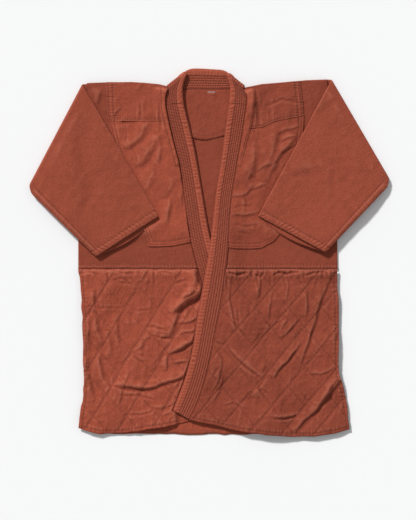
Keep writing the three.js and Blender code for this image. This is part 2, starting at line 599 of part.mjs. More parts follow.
/** A flattened tube, from the armhole outward, folded over the line from shoulder to fold end. */
function sleeve(name, side, spec) {
  const along = new THREE.Vector2(spec.foldEnd[0] - spec.shoulder[0], spec.foldEnd[1] - spec.shoulder[1]);
  along.normalize();
  const outward = new THREE.Vector2(side * Math.abs(along.y), Math.abs(along.x));
  const origin = new THREE.Vector2(...spec.shoulder).addScaledVector(outward, -FOLD_CENTRE);
  const toFold = (x, y) => {
    const offset = new THREE.Vector2(x, y).sub(origin);
    return [offset.dot(along), offset.dot(outward)];
  };
  const fromFold = (run, distance) => (
    origin.clone().addScaledVector(along, run).addScaledVector(outward, distance).toArray());
  const unfold = (x, y) => {
    const [run, distance] = toFold(x, y);
    return fromFold(run, FOLD_LENGTH - distance);
  };
  const cuffUnder = unfold(...spec.cuffUnder);
  const cuffTop = unfold(...spec.cuffTop);
  const armholeTable = side < 0 ? RIGHT_ARMHOLE : LEFT_ARMHOLE;

  const column = (share) => {
    const y = lerp(spec.armpit[1], spec.armholeTop[1], share);
    const start = toFold(tableAt(armholeTable, y) + side * SEAM_GAP, y);
    const end = toFold(...mix(cuffUnder, cuffTop, share));
    return { start, end };
  };
  const distances = (start, end) => {
    const inner = [0, 0.4, 0.8].map((share) => lerp(start, 0, share));
    const bend = steps(FOLD_STEPS).map((share) => share * FOLD_LENGTH);
    const outer = [0.1, 0.25, 0.42, 0.6, 0.8].map((share) => lerp(FOLD_LENGTH, end - HEM_BAND, share));
    return [...inner, ...bend, ...outer, end - HEM_BAND - 1, end - HEM_BAND, end];
  };
  const ringCount = distances(0, 1).length;

  const place = (share, ring, half, skin) => {
    const inset = skin === 'inner' ? lerp(SLEEVE_INSET, 1 - SLEEVE_INSET, share) : share;
    const { start, end } = column(inset);
    const distance = distances(start[1], end[1])[ring];
    const run = lerp(start[0], end[0], (distance - start[1]) / (end[1] - start[1]));
    const folded = distance - FOLD_LENGTH;
    const hem = distance > end[1] - HEM_BAND - 0.5 ? HEM_RISE : 0;
    const onFell = half === 'back' && share > 0 && share < FELL_SHARE;
    const fell = onFell ? FELL_RISE * smooth(folded / FELL_EASE) : 0;
    const parted = Math.sin(Math.PI * share) * smooth((folded - LENS_START) / LIFT_EASE);
    const lens = half === 'back' ? CUFF_LENS * parted : 0;
    const round = skin === 'outer' && (share === 0 || share === 1) ? SLEEVE_EDGE_ROUND : 0;
    const raise = skin === 'outer' ? Math.max(hem, fell) : 0;
    const total = 2 * SLEEVE_WALL + SLEEVE_PINCH;
    const depth = skin === 'outer' ? 0 : SLEEVE_WALL;
    const z = half === 'back' ? depth + round - raise - lens : total - depth - round + (hem ? raise : 0);
    const lift = spec.underarmLift * (1 - share) ** 2 * smooth(folded / LIFT_EASE);
    if (distance <= 0) return [...fromFold(run, distance), z];
    if (folded >= 0) return [...fromFold(run, -folded), 2 * FOLD_CENTRE - z + lift];
    const turn = (distance / FOLD_LENGTH) * Math.PI;
    const radius = FOLD_CENTRE - z;
    return [...fromFold(run, radius * Math.sin(turn)), FOLD_CENTRE - radius * Math.cos(turn)];
  };
  const loop = (ring, skin) => [
    ...SLEEVE_COLUMNS.map((share) => place(share, ring, 'back', skin)),
    ...[...SLEEVE_COLUMNS].reverse().map((share) => place(share, ring, 'front', skin)),
  ];
  return tube(name, TERRACOTTA, ringCount, loop);
}

/** A closed wall between an outer and an inner loop that run the same way. */
function tube(name, color, ringCount, loop) {
  const rings = Array.from({ length: ringCount }, (_, ring) => ring);
  const outer = rings.map((ring) => loop(ring, 'outer'));
  const inner = rings.map((ring) => loop(ring, 'inner'));
  const count = outer[0].length;
  const innerStart = ringCount * count;
  const turned = (faces) => faces.map(([a, b, c]) => [a, c, b]);
  const faces = [];
  for (let ring = 0; ring + 1 < ringCount; ring++) {
    faces.push(...ringBand(count, ring * count, (ring + 1) * count));
    faces.push(...turned(ringBand(count, innerStart + ring * count, innerStart + (ring + 1) * count)));
  }
  faces.push(...turned(ringBand(count, 0, innerStart)));
  faces.push(...ringBand(count, innerStart - count, innerStart + innerStart - count));
  return closedMesh(name, color, [...outer.flat(), ...inner.flat()], faces);
}

// ---- flat pieces --------------------------------------------------------------------------

function backPanel() {
  const sideOf = (armhole, top) => steps(8).map((share) => {
    const y = lerp(WAIST + SEAM_GAP, top, share);
    return [tableAt(armhole, y), y];
  });
  const rightSide = sideOf(RIGHT_ARMHOLE, RIGHT_SLEEVE.armholeTop[1] + 1);
  const leftSide = sideOf(LEFT_ARMHOLE, LEFT_SLEEVE.armholeTop[1]).reverse();
  const shoulderRight = RIGHT_SHOULDER.filter(([x]) => x > -260 && x < BACK_NECK[0][0]);
  const shoulderLeft = LEFT_SHOULDER.filter(([x]) => x > BACK_NECK[BACK_NECK.length - 1][0] && x < 250);
  const outline = [...rightSide, ...shoulderRight, ...BACK_NECK, ...shoulderLeft, ...leftSide];
  return flatPiece('back_panel', TERRACOTTA, outline, 0, BODY_CLOTH);
}

function backSkirt() {
  const outline = [
    [SIDE_RIGHT, WAIST], [-284, -80], [-279, -154], [-277, -290], [-284, -380], [-240, -396],
    [-180, -398], [-60, BACK_HEM], [104, BACK_HEM], [228, BACK_HEM], [294, -386], [290, -310],
    [284, -240], [282, -119], [SIDE_LEFT, WAIST],
  ];
  return flatPiece('back_skirt', TERRACOTTA, outline, 0, SKIRT_CLOTH);
}

function backYoke() {
  const outline = [
    [-150, 356], [-150, 268], [-60, 258], [-38, 253], [-12, 248], [6, 251], [32, 258], [60, 262],
    [150, 270], [150, 356],
  ];
  return flatPiece('back_yoke', TERRACOTTA_SMOOTH, outline, YOKE_REST, YOKE_CLOTH);
}

function neckLabel() {
  const outline = [[-14, 347], [12, 347], [12, 356], [-14, 356]];
  return flatPiece('neck_label', LABEL_GREY, outline, YOKE_REST + YOKE_CLOTH + PLY_GAP, LABEL_CLOTH);
}

// ---- the jacket ---------------------------------------------------------------------------

/** A lapel between the collar cover and its lower end, cut square across. */
const lapels = () => [
  lapel('lapel_right', RIGHT_SEAM, RIGHT_EDGE, RIGHT_REST, [COLLAR_FOOT - SEAM_GAP, -336],
    [COLLAR_FOOT + COLLAR_SLANT - SEAM_GAP, -319], 30),
  lapel('lapel_left', LEFT_SEAM, LEFT_EDGE, LEFT_REST, [COLLAR_FOOT - SEAM_GAP, -366],
    [COLLAR_FOOT + COLLAR_SLANT - SEAM_GAP, -345], 32),
];

const jacket = new THREE.Group();
jacket.add(
  backPanel(),
  backSkirt(),
  backYoke(),
  ...front(-1),
  ...front(1),
  skirtRight(),
  skirtLeft(),
  ...lapels(),
  collar(),
  neckLabel(),
  sleeve('sleeve_right', -1, RIGHT_SLEEVE),
  sleeve('sleeve_left', 1, LEFT_SLEEVE),
);

// The middle of its box in plan lies over the origin.
const box = new THREE.Box3().setFromObject(jacket);
jacket.position.set(-(box.min.x + box.max.x) / 2, -(box.min.y + box.max.y) / 2, -box.min.z);

export default jacket;
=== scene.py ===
"""A judo jacket laid flat on its back, its sleeves folded forward over the fronts.

Lengths are millimetres in the jacket's own plan: X across it, Y from the hem to the neck, Z up.
"left" and "right" are the wearer's: the right front is at -X and the left front, on top, at +X.
"""

import math
from collections import namedtuple
from functools import partial

import bmesh
import bpy
import numpy as np
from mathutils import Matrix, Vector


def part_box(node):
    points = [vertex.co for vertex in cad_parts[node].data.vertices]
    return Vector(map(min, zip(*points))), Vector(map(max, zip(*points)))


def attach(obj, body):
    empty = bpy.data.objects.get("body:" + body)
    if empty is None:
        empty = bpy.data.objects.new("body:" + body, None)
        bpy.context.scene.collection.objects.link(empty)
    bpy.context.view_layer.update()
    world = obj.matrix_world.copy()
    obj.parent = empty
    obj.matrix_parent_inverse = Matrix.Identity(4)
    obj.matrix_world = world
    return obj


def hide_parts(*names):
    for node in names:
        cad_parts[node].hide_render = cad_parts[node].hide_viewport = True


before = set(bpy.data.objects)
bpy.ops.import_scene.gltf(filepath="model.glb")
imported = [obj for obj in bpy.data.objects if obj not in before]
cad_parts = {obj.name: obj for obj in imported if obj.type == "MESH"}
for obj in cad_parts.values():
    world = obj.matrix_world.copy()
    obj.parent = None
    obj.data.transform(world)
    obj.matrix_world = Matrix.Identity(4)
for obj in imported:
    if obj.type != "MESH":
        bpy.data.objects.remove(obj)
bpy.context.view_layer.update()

# ---- sizes ---------------------------------------------------------------------------------

MM = 0.001
BODY_CLOTH = 2.2  # rice-grain weave of the body and sleeves
SKIRT_CLOTH = 1.8  # quilted twill below the waist
PATCH_CLOTH = 1.3  # smooth twill of the reinforcements
YOKE_CLOTH = 1.2
COVER_CLOTH = 0.8  # cover of the lapels and the collar
LABEL_CLOTH = 0.6
PLY_GAP = 0.3
SEAM_GAP = 0.5

FRONT_REST = BODY_CLOTH + PLY_GAP
SKIRT_REST = SKIRT_CLOTH + PLY_GAP
YOKE_REST = BODY_CLOTH + PLY_GAP
YOKE_LIFT = YOKE_CLOTH + 1.4 * PLY_GAP  # how far the yoke raises the fronts
YOKE_EASE = 60  # over how much cloth the fronts come down beside the yoke
YOKE_EASE_FOOT = 185  # where the fronts leave the back below the yoke
YOKE_EASE_SIDE = 160
YOKE_HALF_WIDTH = 150
YOKE_TOP = 359.2
LABEL_LEFT = -14
LABEL_RIGHT = 12
LABEL_FOOT = 347
LABEL_TOP = 356

SIDE_RIGHT = -289
SIDE_LEFT = 280
WAIST = -35
WAIST_BAND = 10
STRIP_FOOT = 191
STRIP_DROP = 4  # the strips end this far below the shoulder
BACK_SKIRT_DRAWN_IN = 3  # it shows this much less than the left skirt at the side
COLLAR_FOOT = 325
COLLAR_SLANT = 3
BACK_HEM = -399

LAPEL_HEIGHT = 5.9
LAPEL_ROLL = 1.6
LAPEL_GROOVE = 0.9
LAPEL_RIBS = 5
LAPEL_WIDTH = 42
ROLL_START = 0.63
RIB_START = 0.03
RIB_PITCH = (ROLL_START - RIB_START) / LAPEL_RIBS
LAPEL_REACH = 45

QUILT_RISE = 2.2
COVERED_MARGIN = 0.5  # the right skirt is plain this far before its own lapel
COVERED_REACH = 14  # and this far under the edge of the left one
COVERED_EASE = 12
COVERED_SLOPE = 2.2  # how steeply its folds come down to the lapel
OVER_HIDDEN_LAPEL = 8.8  # underside of the left skirt on top of the hidden lapel
HIDDEN_LAPEL_SLANT = 0.93  # width across the slanting lapel against width along X
HIDDEN_LAPEL_TOP = 27  # half width of the hump over it, and of its foot
HIDDEN_LAPEL_EASE = 32
RIGHT_SKIRT_END = 30  # where the left skirt comes down beyond the right one
RIGHT_SKIRT_EASE = 50
SHOULDER_EASE = 12  # the fronts are held down this near to the shoulder seam
PATCHED_FROM = 20  # above this the fronts have the fuller relief of their patches
PATCHED_EASE = 40
UNDER_SLEEVE = 0.25  # share of a front's relief that is left where a sleeve lies on it
UNDER_SLEEVE_REACH = 12  # from this far under the sleeve's edge
UNDER_SLEEVE_EASE = 30

SLEEVE_WALL = 2
SLEEVE_PINCH = 0.5
SLEEVE_WIDTH = 255
CUFF_LENS = 0.9
CUFF_REACH = 11  # how far the cuff's lower layer shows past the upper one
HEM_BAND = 14
HEM_RISE = 0.7
FELL_BAND = 18
FELL_FALL = 3.4  # how far the seam's band slopes down to the edge
FELL_RISE = 1.2
FOLD_CENTRE = 6.2
CORNER = 20  # roundness of the corner where the fold meets the underarm seam
SLEEVE_SECTION = (0.62, 0.66, 0.96)  # where its back wall, top edge and front wall end
SLEEVE_STAGES = (0.1, 0.2, 0.92)  # where the fold starts and ends and the hem starts
LENS_START = 90  # the cuff's two layers part from here on, past the fold
LENS_EASE = 60
LAPEL_SECTION = (0.8, 0.87, 0.95)  # where its face, free edge and underside end
COLLAR_SECTION = (0.45, 0.5, 0.95)

# Rows of stitches, by their distance from the edge of the piece.
BAND_ROWS = (2.2, 8.2)
CHEST_ROWS = (4, 11)
SHOULDER_ROWS = (3, 13)
SHOULDER_FOOT_ROW = 3.5
SHOULDER_FOOT_BAND = 7  # up to here the foot's row is drawn, and above it the side's rows
YOKE_ROWS = (4, 10)
STRIP_ROW = 2.5
HEM_ROW = 8
SIDE_ROW = 7
BAND_PUCKERS = 7  # from one pucker across a row to the next
PATCH_PUCKERS = 6.4
YOKE_PUCKERS = 6
STRIP_PUCKERS = 5
SKIRT_PUCKERS = 8
QUILT_PUCKERS = 7.5
SLEEVE_PUCKERS = 7.6
STITCH = 3.6  # a stitch and the hole after it
LAPEL_STITCH = 3.3

# ---- tables: [y, value] unless they say otherwise -------------------------------------------

RIGHT_SEAM = [
    [400, -95], [366, -96], [344, -97.5], [322, -97], [260, -84], [192, -67], [107, -54],
    [47, -46], [-9, -33], [-66, -16], [-182, 31], [-340, 95],
]
RIGHT_EDGE = [
    [400, -54], [383, -58], [366, -60.5], [348, -59.5], [328, -57], [268, -42], [218, -31],
    [161, -21], [114, -13], [56, -3], [3, 10], [-49, 25], [-165, 73], [-320, 136],
]
RIGHT_REST = [
    [400, 10], [325, 10], [262, 6.2], [220, 4.6], [180, 3.2], [140, 2.7], [-340, 2.6],
]
LEFT_SEAM = [
    [400, 76], [362, 78], [344, 81.5], [321, 80.5], [257, 71], [205, 61.5], [161, 54], [122, 48],
    [84, 44.5], [40, 41.5], [-9, 38], [-70, 31.5], [-119, 23.5], [-178, 11.5], [-237, 0],
    [-286, -12], [-330, -27], [-366, -44],
]
LEFT_EDGE = [
    [400, 42], [372, 46], [337, 43], [321, 41], [257, 32], [205, 25.5], [161, 18], [122, 12],
    [84, 8], [40, 3], [-9, -4], [-70, -15], [-119, -24], [-178, -33], [-237, -44], [-286, -58.5],
    [-345, -81],
]
LEFT_REST = [
    [400, 10], [321, 10], [257, 6.4], [205, 4.8], [161, 4.6], [122, 5.4], [84, 7.4], [40, 9.3],
    [-9, 9.3], [-119, 9.3], [-178, 9.1], [-237, 7.9], [-286, 7.0], [-366, 6.4],
]
LEFT_LAPEL_END = [[-81, -346], [-44, -367]]  # [x, y]
PRESSED = 0.92
LAPEL_PRESS = [[400, 1], [80, 1], [40, PRESSED], [-340, PRESSED]]
RIGHT_ARMHOLE = [[372, -270], [245, -280], [117, -288.5], [29, SIDE_RIGHT], [-60, SIDE_RIGHT]]
LEFT_ARMHOLE = [[382, 258], [250, 270], [125, 279.5], [29, SIDE_LEFT], [-60, SIDE_LEFT]]
RIGHT_PATCH_SIDE = [[372, -227], [284, -221], [130, -176], [60, -148], [24, -136], [-60, -136]]
LEFT_PATCH_SIDE = [[382, 198], [284, 206], [130, 182], [60, 166], [24, 158], [-60, 158]]
RIGHT_STRIP_SIDE = [[372, -109], [321, -108], [276, -99], [245, -91], [191, -77], [-60, -30]]
LEFT_STRIP_SIDE = [[382, 99], [321, 98], [284, 92], [245, 81], [191, 68.5], [-60, 46]]
RIGHT_SKIRT_SIDE = [
    [-30, -289], [-75, -284], [-154, -279], [-266, -277], [-310, -278], [-348, -283], [-400, -290],
]
LEFT_SKIRT_SIDE = [
    [-30, 280], [-119, 282], [-224, 283], [-268, 285], [-290, 292], [-325, 299], [-400, 309],
]

# Each row is [x, y].
RIGHT_SHOULDER = [
    [-290, 372], [-234, 374], [-173, 375], [-140, 373], [-111, 370], [-96, 366], [-80, 362],
]
LEFT_SHOULDER = [[60, 362], [79, 363], [113, 370], [181, 376], [212, 379], [290, 382]]
BACK_TOP = [
    [-290, 372], [-234, 374], [-173, 375], [-111, 370], [-97, 366], [-92, 360.7], [-75, 360.1],
    [-57, 359.7], [24, 359.7], [45, 360.1], [60, 360.6], [72, 360.7], [80, 364.5], [113, 370],
    [181, 376], [212, 379], [290, 382],
]
RIGHT_HEM = [
    [-295, -381], [-277, -388], [-242, -398], [-183, -396], [-136, -387], [-106, -384], [-65, -376],
    [-30, -366], [40, -352], [95, -340],
]
LEFT_HEM = [
    [-46, -366], [-22, -373], [7, -378], [37, -385], [81, -394], [125, -400], [169, -403],
    [228, -404], [273, -397], [310, -386],
]
BACK_SKIRT_HEM = [
    [-290, -380], [-284, -380], [-240, -396], [-180, -398], [-60, BACK_HEM], [104, BACK_HEM],
    [228, BACK_HEM], [294, -386],
]
RIGHT_PATCH_FOOT = [[-140, 16], [-132, 14], [-86, 15.4], [-52, 21.6], [-40, 24]]
LEFT_PATCH_FOOT = [[40, 12], [62, 9.5], [110, 10.6], [126, 18], [141, 26.5], [151, 39], [158, 48]]
RIGHT_SHOULDER_PATCH_FOOT = [[-240, 289], [-60, 289]]
LEFT_SHOULDER_PATCH_FOOT = [[84, 272], [115, 275], [142, 288], [206, 301]]
YOKE_FOOT = [
    [-150, 268], [-60, 258], [-38, 253], [-12, 248], [6, 251], [32, 258], [60, 262], [150, 270],
]

# A fold stands up over its foot, on the left of the line from start to end:
# [rise, width of its steep side, width of its soft side, foot].
RIGHT_SKIRT_FOLDS = [
    [11, 13, 16, [(-84, -140), (-59, -125), (-44, -115), (-20, -98), (10, -78), (44, -56)]],
    [7, 16, 16, [(-50, -112), (-32, -90), (-20, -66), (-12, -40), (-6, -10)]],
    [2.4, 5, 9, [(-58, -104), (-40, -92), (-24, -86)]],
    [5.5, 10, 13, [(-106, -196), (-99, -188), (-79, -174), (-67, -146), (-59, -124), (-50, -108)]],
    [2.8, 4, 10, [(-70, -158), (-63, -156), (-44, -154), (-32, -148), (-20, -142)]],
    [1.9, 3.5, 9, [(-66, -181), (-59, -178), (-40, -174), (-30, -171)]],
    [5.2, 6, 13, [(-92, -224), (-83, -221), (-63, -213), (-40, -200), (-26, -188)]],
    [2.2, 4, 8, [(-91, -259), (-91, -226)]],
    [2.2, 4, 8, [(-81, -242), (-48, -240)]],
    [6.5, 7, 14, [(-214, -290), (-206, -293), (-150, -302), (-123, -299), (-91, -285), (-55, -275),
                  (-38, -268)]],
    [2.6, 9, 12, [(-247, -132), (-252, -76)]],
    [3.2, 10, 12, [(-263, -226), (-259, -174), (-266, -134)]],
    [3.0, 10, 14, [(-228, -204), (-238, -168), (-250, -128)]],
    [3.4, 9, 13, [(-249, -322), (-264, -269), (-261, -226)]],
    [2.6, 8, 12, [(-211, -230), (-218, -170)]],
    [3.0, 9, 13, [(-218, -302), (-233, -253), (-239, -216)]],
    [2.2, 8, 12, [(-196, -210), (-197, -160), (-190, -134)]],
    [2.2, 8, 12, [(-150, -230), (-142, -200), (-126, -184)]],
    [1.8, 4, 10, [(-134, -340), (-100, -342), (-72, -332)]],
    [1.6, 4, 9, [(-110, -357), (-80, -352), (-52, -344)]],
    [1.8, 4, 9, [(-66, -322), (-44, -308)]],
    [1.6, 4, 14, [(-198, -336), (-186, -290), (-172, -256)]],
]
LEFT_SKIRT_FOLDS = [
    [2.8, 5, 10, [(62, -170), (51, -122), (43, -78)]],
    [2.8, 4, 10, [(34, -202), (62, -236), (106, -270), (120, -278)]],
    [2.4, 6, 10, [(108, -104), (113, -54)]],
    [2.8, 6, 12, [(131, -154), (133, -120), (139, -82)]],
    [2.2, 5, 9, [(171, -110), (175, -54)]],
    [2.6, 5, 11, [(213, -142), (215, -115), (213, -86)]],
    [4.4, 7, 14, [(203, -254), (213, -217), (221, -190), (233, -150), (249, -103), (264, -63), (274, -36)]],
    [2.8, 5, 11, [(154, -190), (161, -186), (177, -174), (193, -154), (198, -146)]],
    [1.8, 4, 9, [(154, -175), (172, -150)]],
    [5.0, 5.5, 13, [(142, -276), (147, -269), (161, -249), (181, -229), (197, -205), (202, -196)]],
    [1.8, 3.5, 9, [(214, -269), (249, -266), (278, -250)]],
    [7.5, 8, 14, [(188, -397), (201, -384), (233, -352), (249, -332), (264, -316), (288, -289),
                  (300, -276)]],
    [3.0, 4, 8, [(249, -326), (257, -316), (275, -290), (281, -282)]],
    [2.2, 4, 11, [(132, -361), (142, -362), (161, -366), (189, -360), (199, -356)]],
    [2.0, 4, 10, [(8, -308), (23, -269), (27, -237), (9, -208)]],
    [1.8, 4, 9, [(8, -328), (23, -308), (28, -266)]],
    [1.8, 6, 12, [(119, -320), (101, -280)]],
    [1.8, 6, 10, [(274, -224), (277, -185), (281, -146)]],
    [1.6, 5, 14, [(78, -210), (96, -196), (120, -170)]],
]
RIGHT_FRONT_FOLDS = [
    [3.8, 15, 20, [(-204, 236), (-186, 226), (-158, 236), (-135, 262), (-122, 284)]],
    [4.0, 14, 18, [(-172, 186), (-152, 184), (-136, 198), (-122, 222), (-104, 252)]],
    [2.4, 9, 14, [(-108, 190), (-103, 224), (-106, 262)]],
    [2.2, 12, 16, [(-146, 120), (-128, 144), (-112, 174)]],
    [2.2, 9, 14, [(-245, 314), (-232, 361)]],
    [1.8, 5, 10, [(-214, 294), (-190, 318)]],
    [2.0, 10, 14, [(-98, 118), (-80, 140), (-68, 160)]],
    [2.4, 10, 15, [(-90, 56), (-86, 84), (-82, 120)]],
    [1.5, 3, 9, [(-222, 285), (-154, 285)]],
]
LEFT_FRONT_FOLDS = [
    [3.0, 12, 15, [(82, 136), (97, 170), (103, 203), (106, 235), (104, 266)]],
    [3.2, 12, 16, [(112, 156), (136, 196), (152, 240), (153, 282)]],
    [4.6, 10, 15, [(128, 152), (140, 176), (156, 204), (174, 226), (197, 254)]],
    [2.6, 5, 11, [(50, 119), (66, 121), (84, 130), (100, 150)]],
    [1.9, 4, 8, [(158, 216), (174, 228), (196, 237)]],
    [1.9, 4, 8, [(154, 240), (172, 249), (196, 256)]],
    [1.8, 4, 8, [(150, 258), (170, 268), (198, 274)]],
    [1.8, 4, 8, [(104, 176), (118, 186), (140, 192)]],
    [2.4, 5, 10, [(91, 136), (97, 139), (119, 147), (126, 150)]],
    [2.2, 7, 12, [(79, 84), (79, 128)]],
    [2.2, 4, 11, [(48, 78), (62, 80), (92, 84), (114, 92)]],
]
RIGHT_SLEEVE_FOLDS = [
    [4.6, 32, 48, [(-254, 20), (-265, 90), (-267, 159), (-279, 206), (-288, 252), (-281, 300)]],
]
LEFT_SLEEVE_FOLDS = [
    [1.8, 18, 26, [(176, 170), (250, 174)]],
    [1.8, 18, 26, [(273, 122), (273, 210)]],
    [1.8, 18, 26, [(212, 280), (278, 336)]],
]

# A crease is pressed into the cloth along a line: [depth, half width, line].
RIGHT_SKIRT_CREASES = [
    [2.0, 3.0, [(-123, -75), (-123, -36)]],
    [1.4, 2.6, [(-224, -62), (-224, -36)]],
    [1.4, 2.6, [(-205, -62), (-171, -68)]],
    [1.6, 2.8, [(-79, -68), (-48, -58)]],
    [1.1, 2.6, [(-252, -121), (-187, -121)]],
    [1.2, 2.6, [(-169, -126), (-128, -124)]],
    [1.2, 2.6, [(-118, -166), (-96, -166)]],
    [1.6, 3.0, [(-110, -188), (-81, -188)]],
    [1.2, 4.5, [(-176, -130), (-170, -168)]],
    [2.4, 2.4, [(-285, -42), (-264, -41), (-246, -46)]],
    [2.0, 2.4, [(-204, -42), (-176, -44), (-150, -41)]],
    [2.0, 2.4, [(-120, -43), (-100, -41), (-80, -44)]],
    [1.4, 2.6, [(-218, -61), (-192, -54), (-168, -72)]],
    [1.5, 2.8, [(-143, -159), (-118, -163), (-101, -170)]],
    [1.8, 2.8, [(-129, -180), (-101, -188), (-84, -187)]],
    [1.3, 2.8, [(-171, -221), (-146, -208)]],
    [1.2, 2.8, [(-171, -221), (-139, -226)]],
    [1.3, 2.8, [(-169, -224), (-150, -240)]],
    [1.2, 2.8, [(-173, -222), (-189, -240)]],
    [1.8, 2.8, [(-213, -291), (-192, -298), (-162, -303)]],
    [1.3, 3.0, [(-222, -270), (-218, -300)]],
    [1.4, 2.8, [(-202, -313), (-157, -312), (-115, -324)]],
    [1.5, 2.8, [(-181, -355), (-143, -354), (-115, -343)]],
    [1.6, 4.0, [(-122, -250), (-105, -222), (-88, -196)]],
    [1.3, 3.5, [(-241, -257), (-234, -272), (-222, -292)]],
    [1.3, 3.5, [(-252, -78), (-246, -112), (-238, -136)]],
    [1.2, 3.0, [(-160, -92), (-148, -76), (-142, -52)]],
]
LEFT_SKIRT_CREASES = [
    [4.2, 2.6, [(38, -44), (60, -47), (84, -42)]],
    [3.4, 2.4, [(96, -46), (112, -53), (118, -42)]],
    [4.2, 2.6, [(138, -52), (150, -43), (172, -45), (201, -40)]],
    [3.6, 2.4, [(206, -50), (226, -43), (256, -41)]],
    [3.6, 2.8, [(37, -42), (37, -82)]],
    [1.2, 3.5, [(178, -72), (200, -67), (218, -65)]],
    [1.3, 5.0, [(92, -96), (84, -140)]],
    [1.0, 4.0, [(60, -330), (92, -316), (120, -322)]],
    [2.2, 3.0, [(60, -120), (63, -164)]],
    [2.0, 2.4, [(67, -240), (86, -254), (104, -267)]],
    [2.4, 2.6, [(139, -363), (163, -365), (190, -359)]],
    [1.5, 2.8, [(104, -296), (84, -316)]],
    [1.6, 2.8, [(104, -296), (123, -269)]],
    [1.4, 2.8, [(106, -297), (131, -308)]],
    [1.5, 2.8, [(135, -163), (116, -144)]],
    [1.4, 2.8, [(137, -163), (163, -144)]],
    [1.4, 2.8, [(133, -165), (104, -195)]],
    [1.5, 2.8, [(61, -163), (45, -144)]],
    [1.4, 2.8, [(63, -165), (80, -183)]],
    [1.4, 2.8, [(14, -195), (32, -202)]],
    [1.5, 3.0, [(0, -277), (12, -262), (26, -245)]],
    [1.6, 3.0, [(131, -50), (135, -74)]],
    [1.6, 3.0, [(101, -50), (108, -78)]],
    [1.5, 3.0, [(160, -52), (168, -82)]],
    [1.4, 3.0, [(236, -52), (230, -84)]],
    [1.3, 3.0, [(196, -300), (214, -324), (236, -336)]],
    [1.3, 3.0, [(30, -340), (52, -330), (84, -344)]],
]
RIGHT_FRONT_CREASES = [
    [1.8, 3.0, [(-153, 330), (-153, 290)]],
    [2.2, 3.5, [(-112, 327), (-110, 296), (-109, 266)]],
    [1.8, 3.0, [(-58, 100), (-60, 136)]],
    [0.9, 2.6, [(-234, 343), (-207, 342)]],
]
LEFT_FRONT_CREASES = [
    [2.6, 4.0, [(107, 274), (104, 315), (101, 356)]],
    [1.7, 3.5, [(119, 322), (160, 337), (210, 327)]],
    [1.4, 3.5, [(133, 290), (133, 318)]],
    [1.3, 2.6, [(54, 62), (84, 58), (112, 64)]],
    [1.1, 2.4, [(58, 46), (90, 42)]],
    [1.3, 2.6, [(52, 100), (70, 104), (92, 102)]],
]

# Stitched lines of the quilting: a crossing, and the steps along both directions to the next ones.
Quilt = namedtuple("Quilt", "origin falling rising")
RIGHT_QUILT = Quilt((-185, -121), (-29, -47.5), (44, -47.5))
LEFT_QUILT = Quilt((99, -121), (-36.5, -43), (36.5, -43))
QUILT_SPACING = 57  # between two lines
QUILT_STITCHES = 12  # from one crossing to the next

Sleeve = namedtuple("Sleeve", "side shoulder fold_end cuff_under cuff_top armhole_top armpit lift folds")
RIGHT_SLEEVE = Sleeve(
    -1, (-279, 373), (-400, 143), (-250, -8), (-113, 80), (-270, 371.5), (-288.5, 117), 3,
    RIGHT_SLEEVE_FOLDS,
)
LEFT_SLEEVE = Sleeve(
    1, (267, 382), (400, 154), (254, 1), (106, 81), (258, 381), (279.5, 125), 6, LEFT_SLEEVE_FOLDS,
)

# Inside of the collar behind the neck: [seam x, seam y, edge x, edge y] from fold to fold.
COLLAR_REST = 10
COLLAR_AXIS = (COLLAR_REST + LAPEL_HEIGHT) / 2
COLLAR_BACK = np.array([
    [-91, 361, -50, 393], [-89, 361, -53, 399], [-75, 360.5, -46, 403], [-57, 360, -36, 405],
    [-36, 360, -20, 405], [-6, 360, -3, 404], [24, 360, 14, 403], [45, 360.5, 26, 402],
    [60, 361, 33, 400], [71.5, 361, 38.5, 396.5], [73, 361, 36, 390],
])

# ---- small mathematics on whole grids of points ----------------------------------------------


def lerp(a, b, t):
    return a + (b - a) * t


def smooth(t):
    t = np.clip(t, 0, 1)
    return t * t * (3 - 2 * t)


def ramp(value, start, end):
    return np.clip((value - start) / (end - start), 0, 1)


def bell(distance, width):
    return np.exp(-((distance / width) ** 2))


def table_at(table, place):
    """Smooth curve through a table's rows; past its ends it runs on level."""
    places, values = np.array(sorted(table), dtype=float).T
    slopes = np.empty_like(values)
    slopes[1:-1] = (values[2:] - values[:-2]) / (places[2:] - places[:-2])
    slopes[0] = (values[1] - values[0]) / (places[1] - places[0])
    slopes[-1] = (values[-1] - values[-2]) / (places[-1] - places[-2])
    place = np.clip(place, places[0], places[-1])
    i = np.clip(np.searchsorted(places, place, side="right") - 1, 0, len(places) - 2)
    span = places[i + 1] - places[i]
    t = (place - places[i]) / span
    bend = (1 - t) * t * ((1 - t) * slopes[i] - t * slopes[i + 1]) * span
    return lerp(values[i], values[i + 1], t * t * (3 - 2 * t)) + bend


def line_at(table, place):
    places, values = np.array(table, dtype=float).T
    return np.interp(place, places, values)


def uneven(x, y, pitch, seed, lean=0.0, stretch=1.0):
    """Soft random unevenness from -1 to 1, its bumps a pitch apart and drawn out along a lean."""
    lattice = np.random.default_rng(seed).uniform(-1, 1, (64, 64))
    p = (x * math.cos(lean) + y * math.sin(lean)) / (pitch * stretch) + 900
    q = (y * math.cos(lean) - x * math.sin(lean)) / pitch + 900
    i = np.floor(p).astype(int)
    j = np.floor(q).astype(int)
    a = smooth(p - i)
    b = smooth(q - j)
    low = lerp(lattice[i % 64, j % 64], lattice[(i + 1) % 64, j % 64], a)
    high = lerp(lattice[i % 64, (j + 1) % 64], lattice[(i + 1) % 64, (j + 1) % 64], a)
    return lerp(low, high, b)


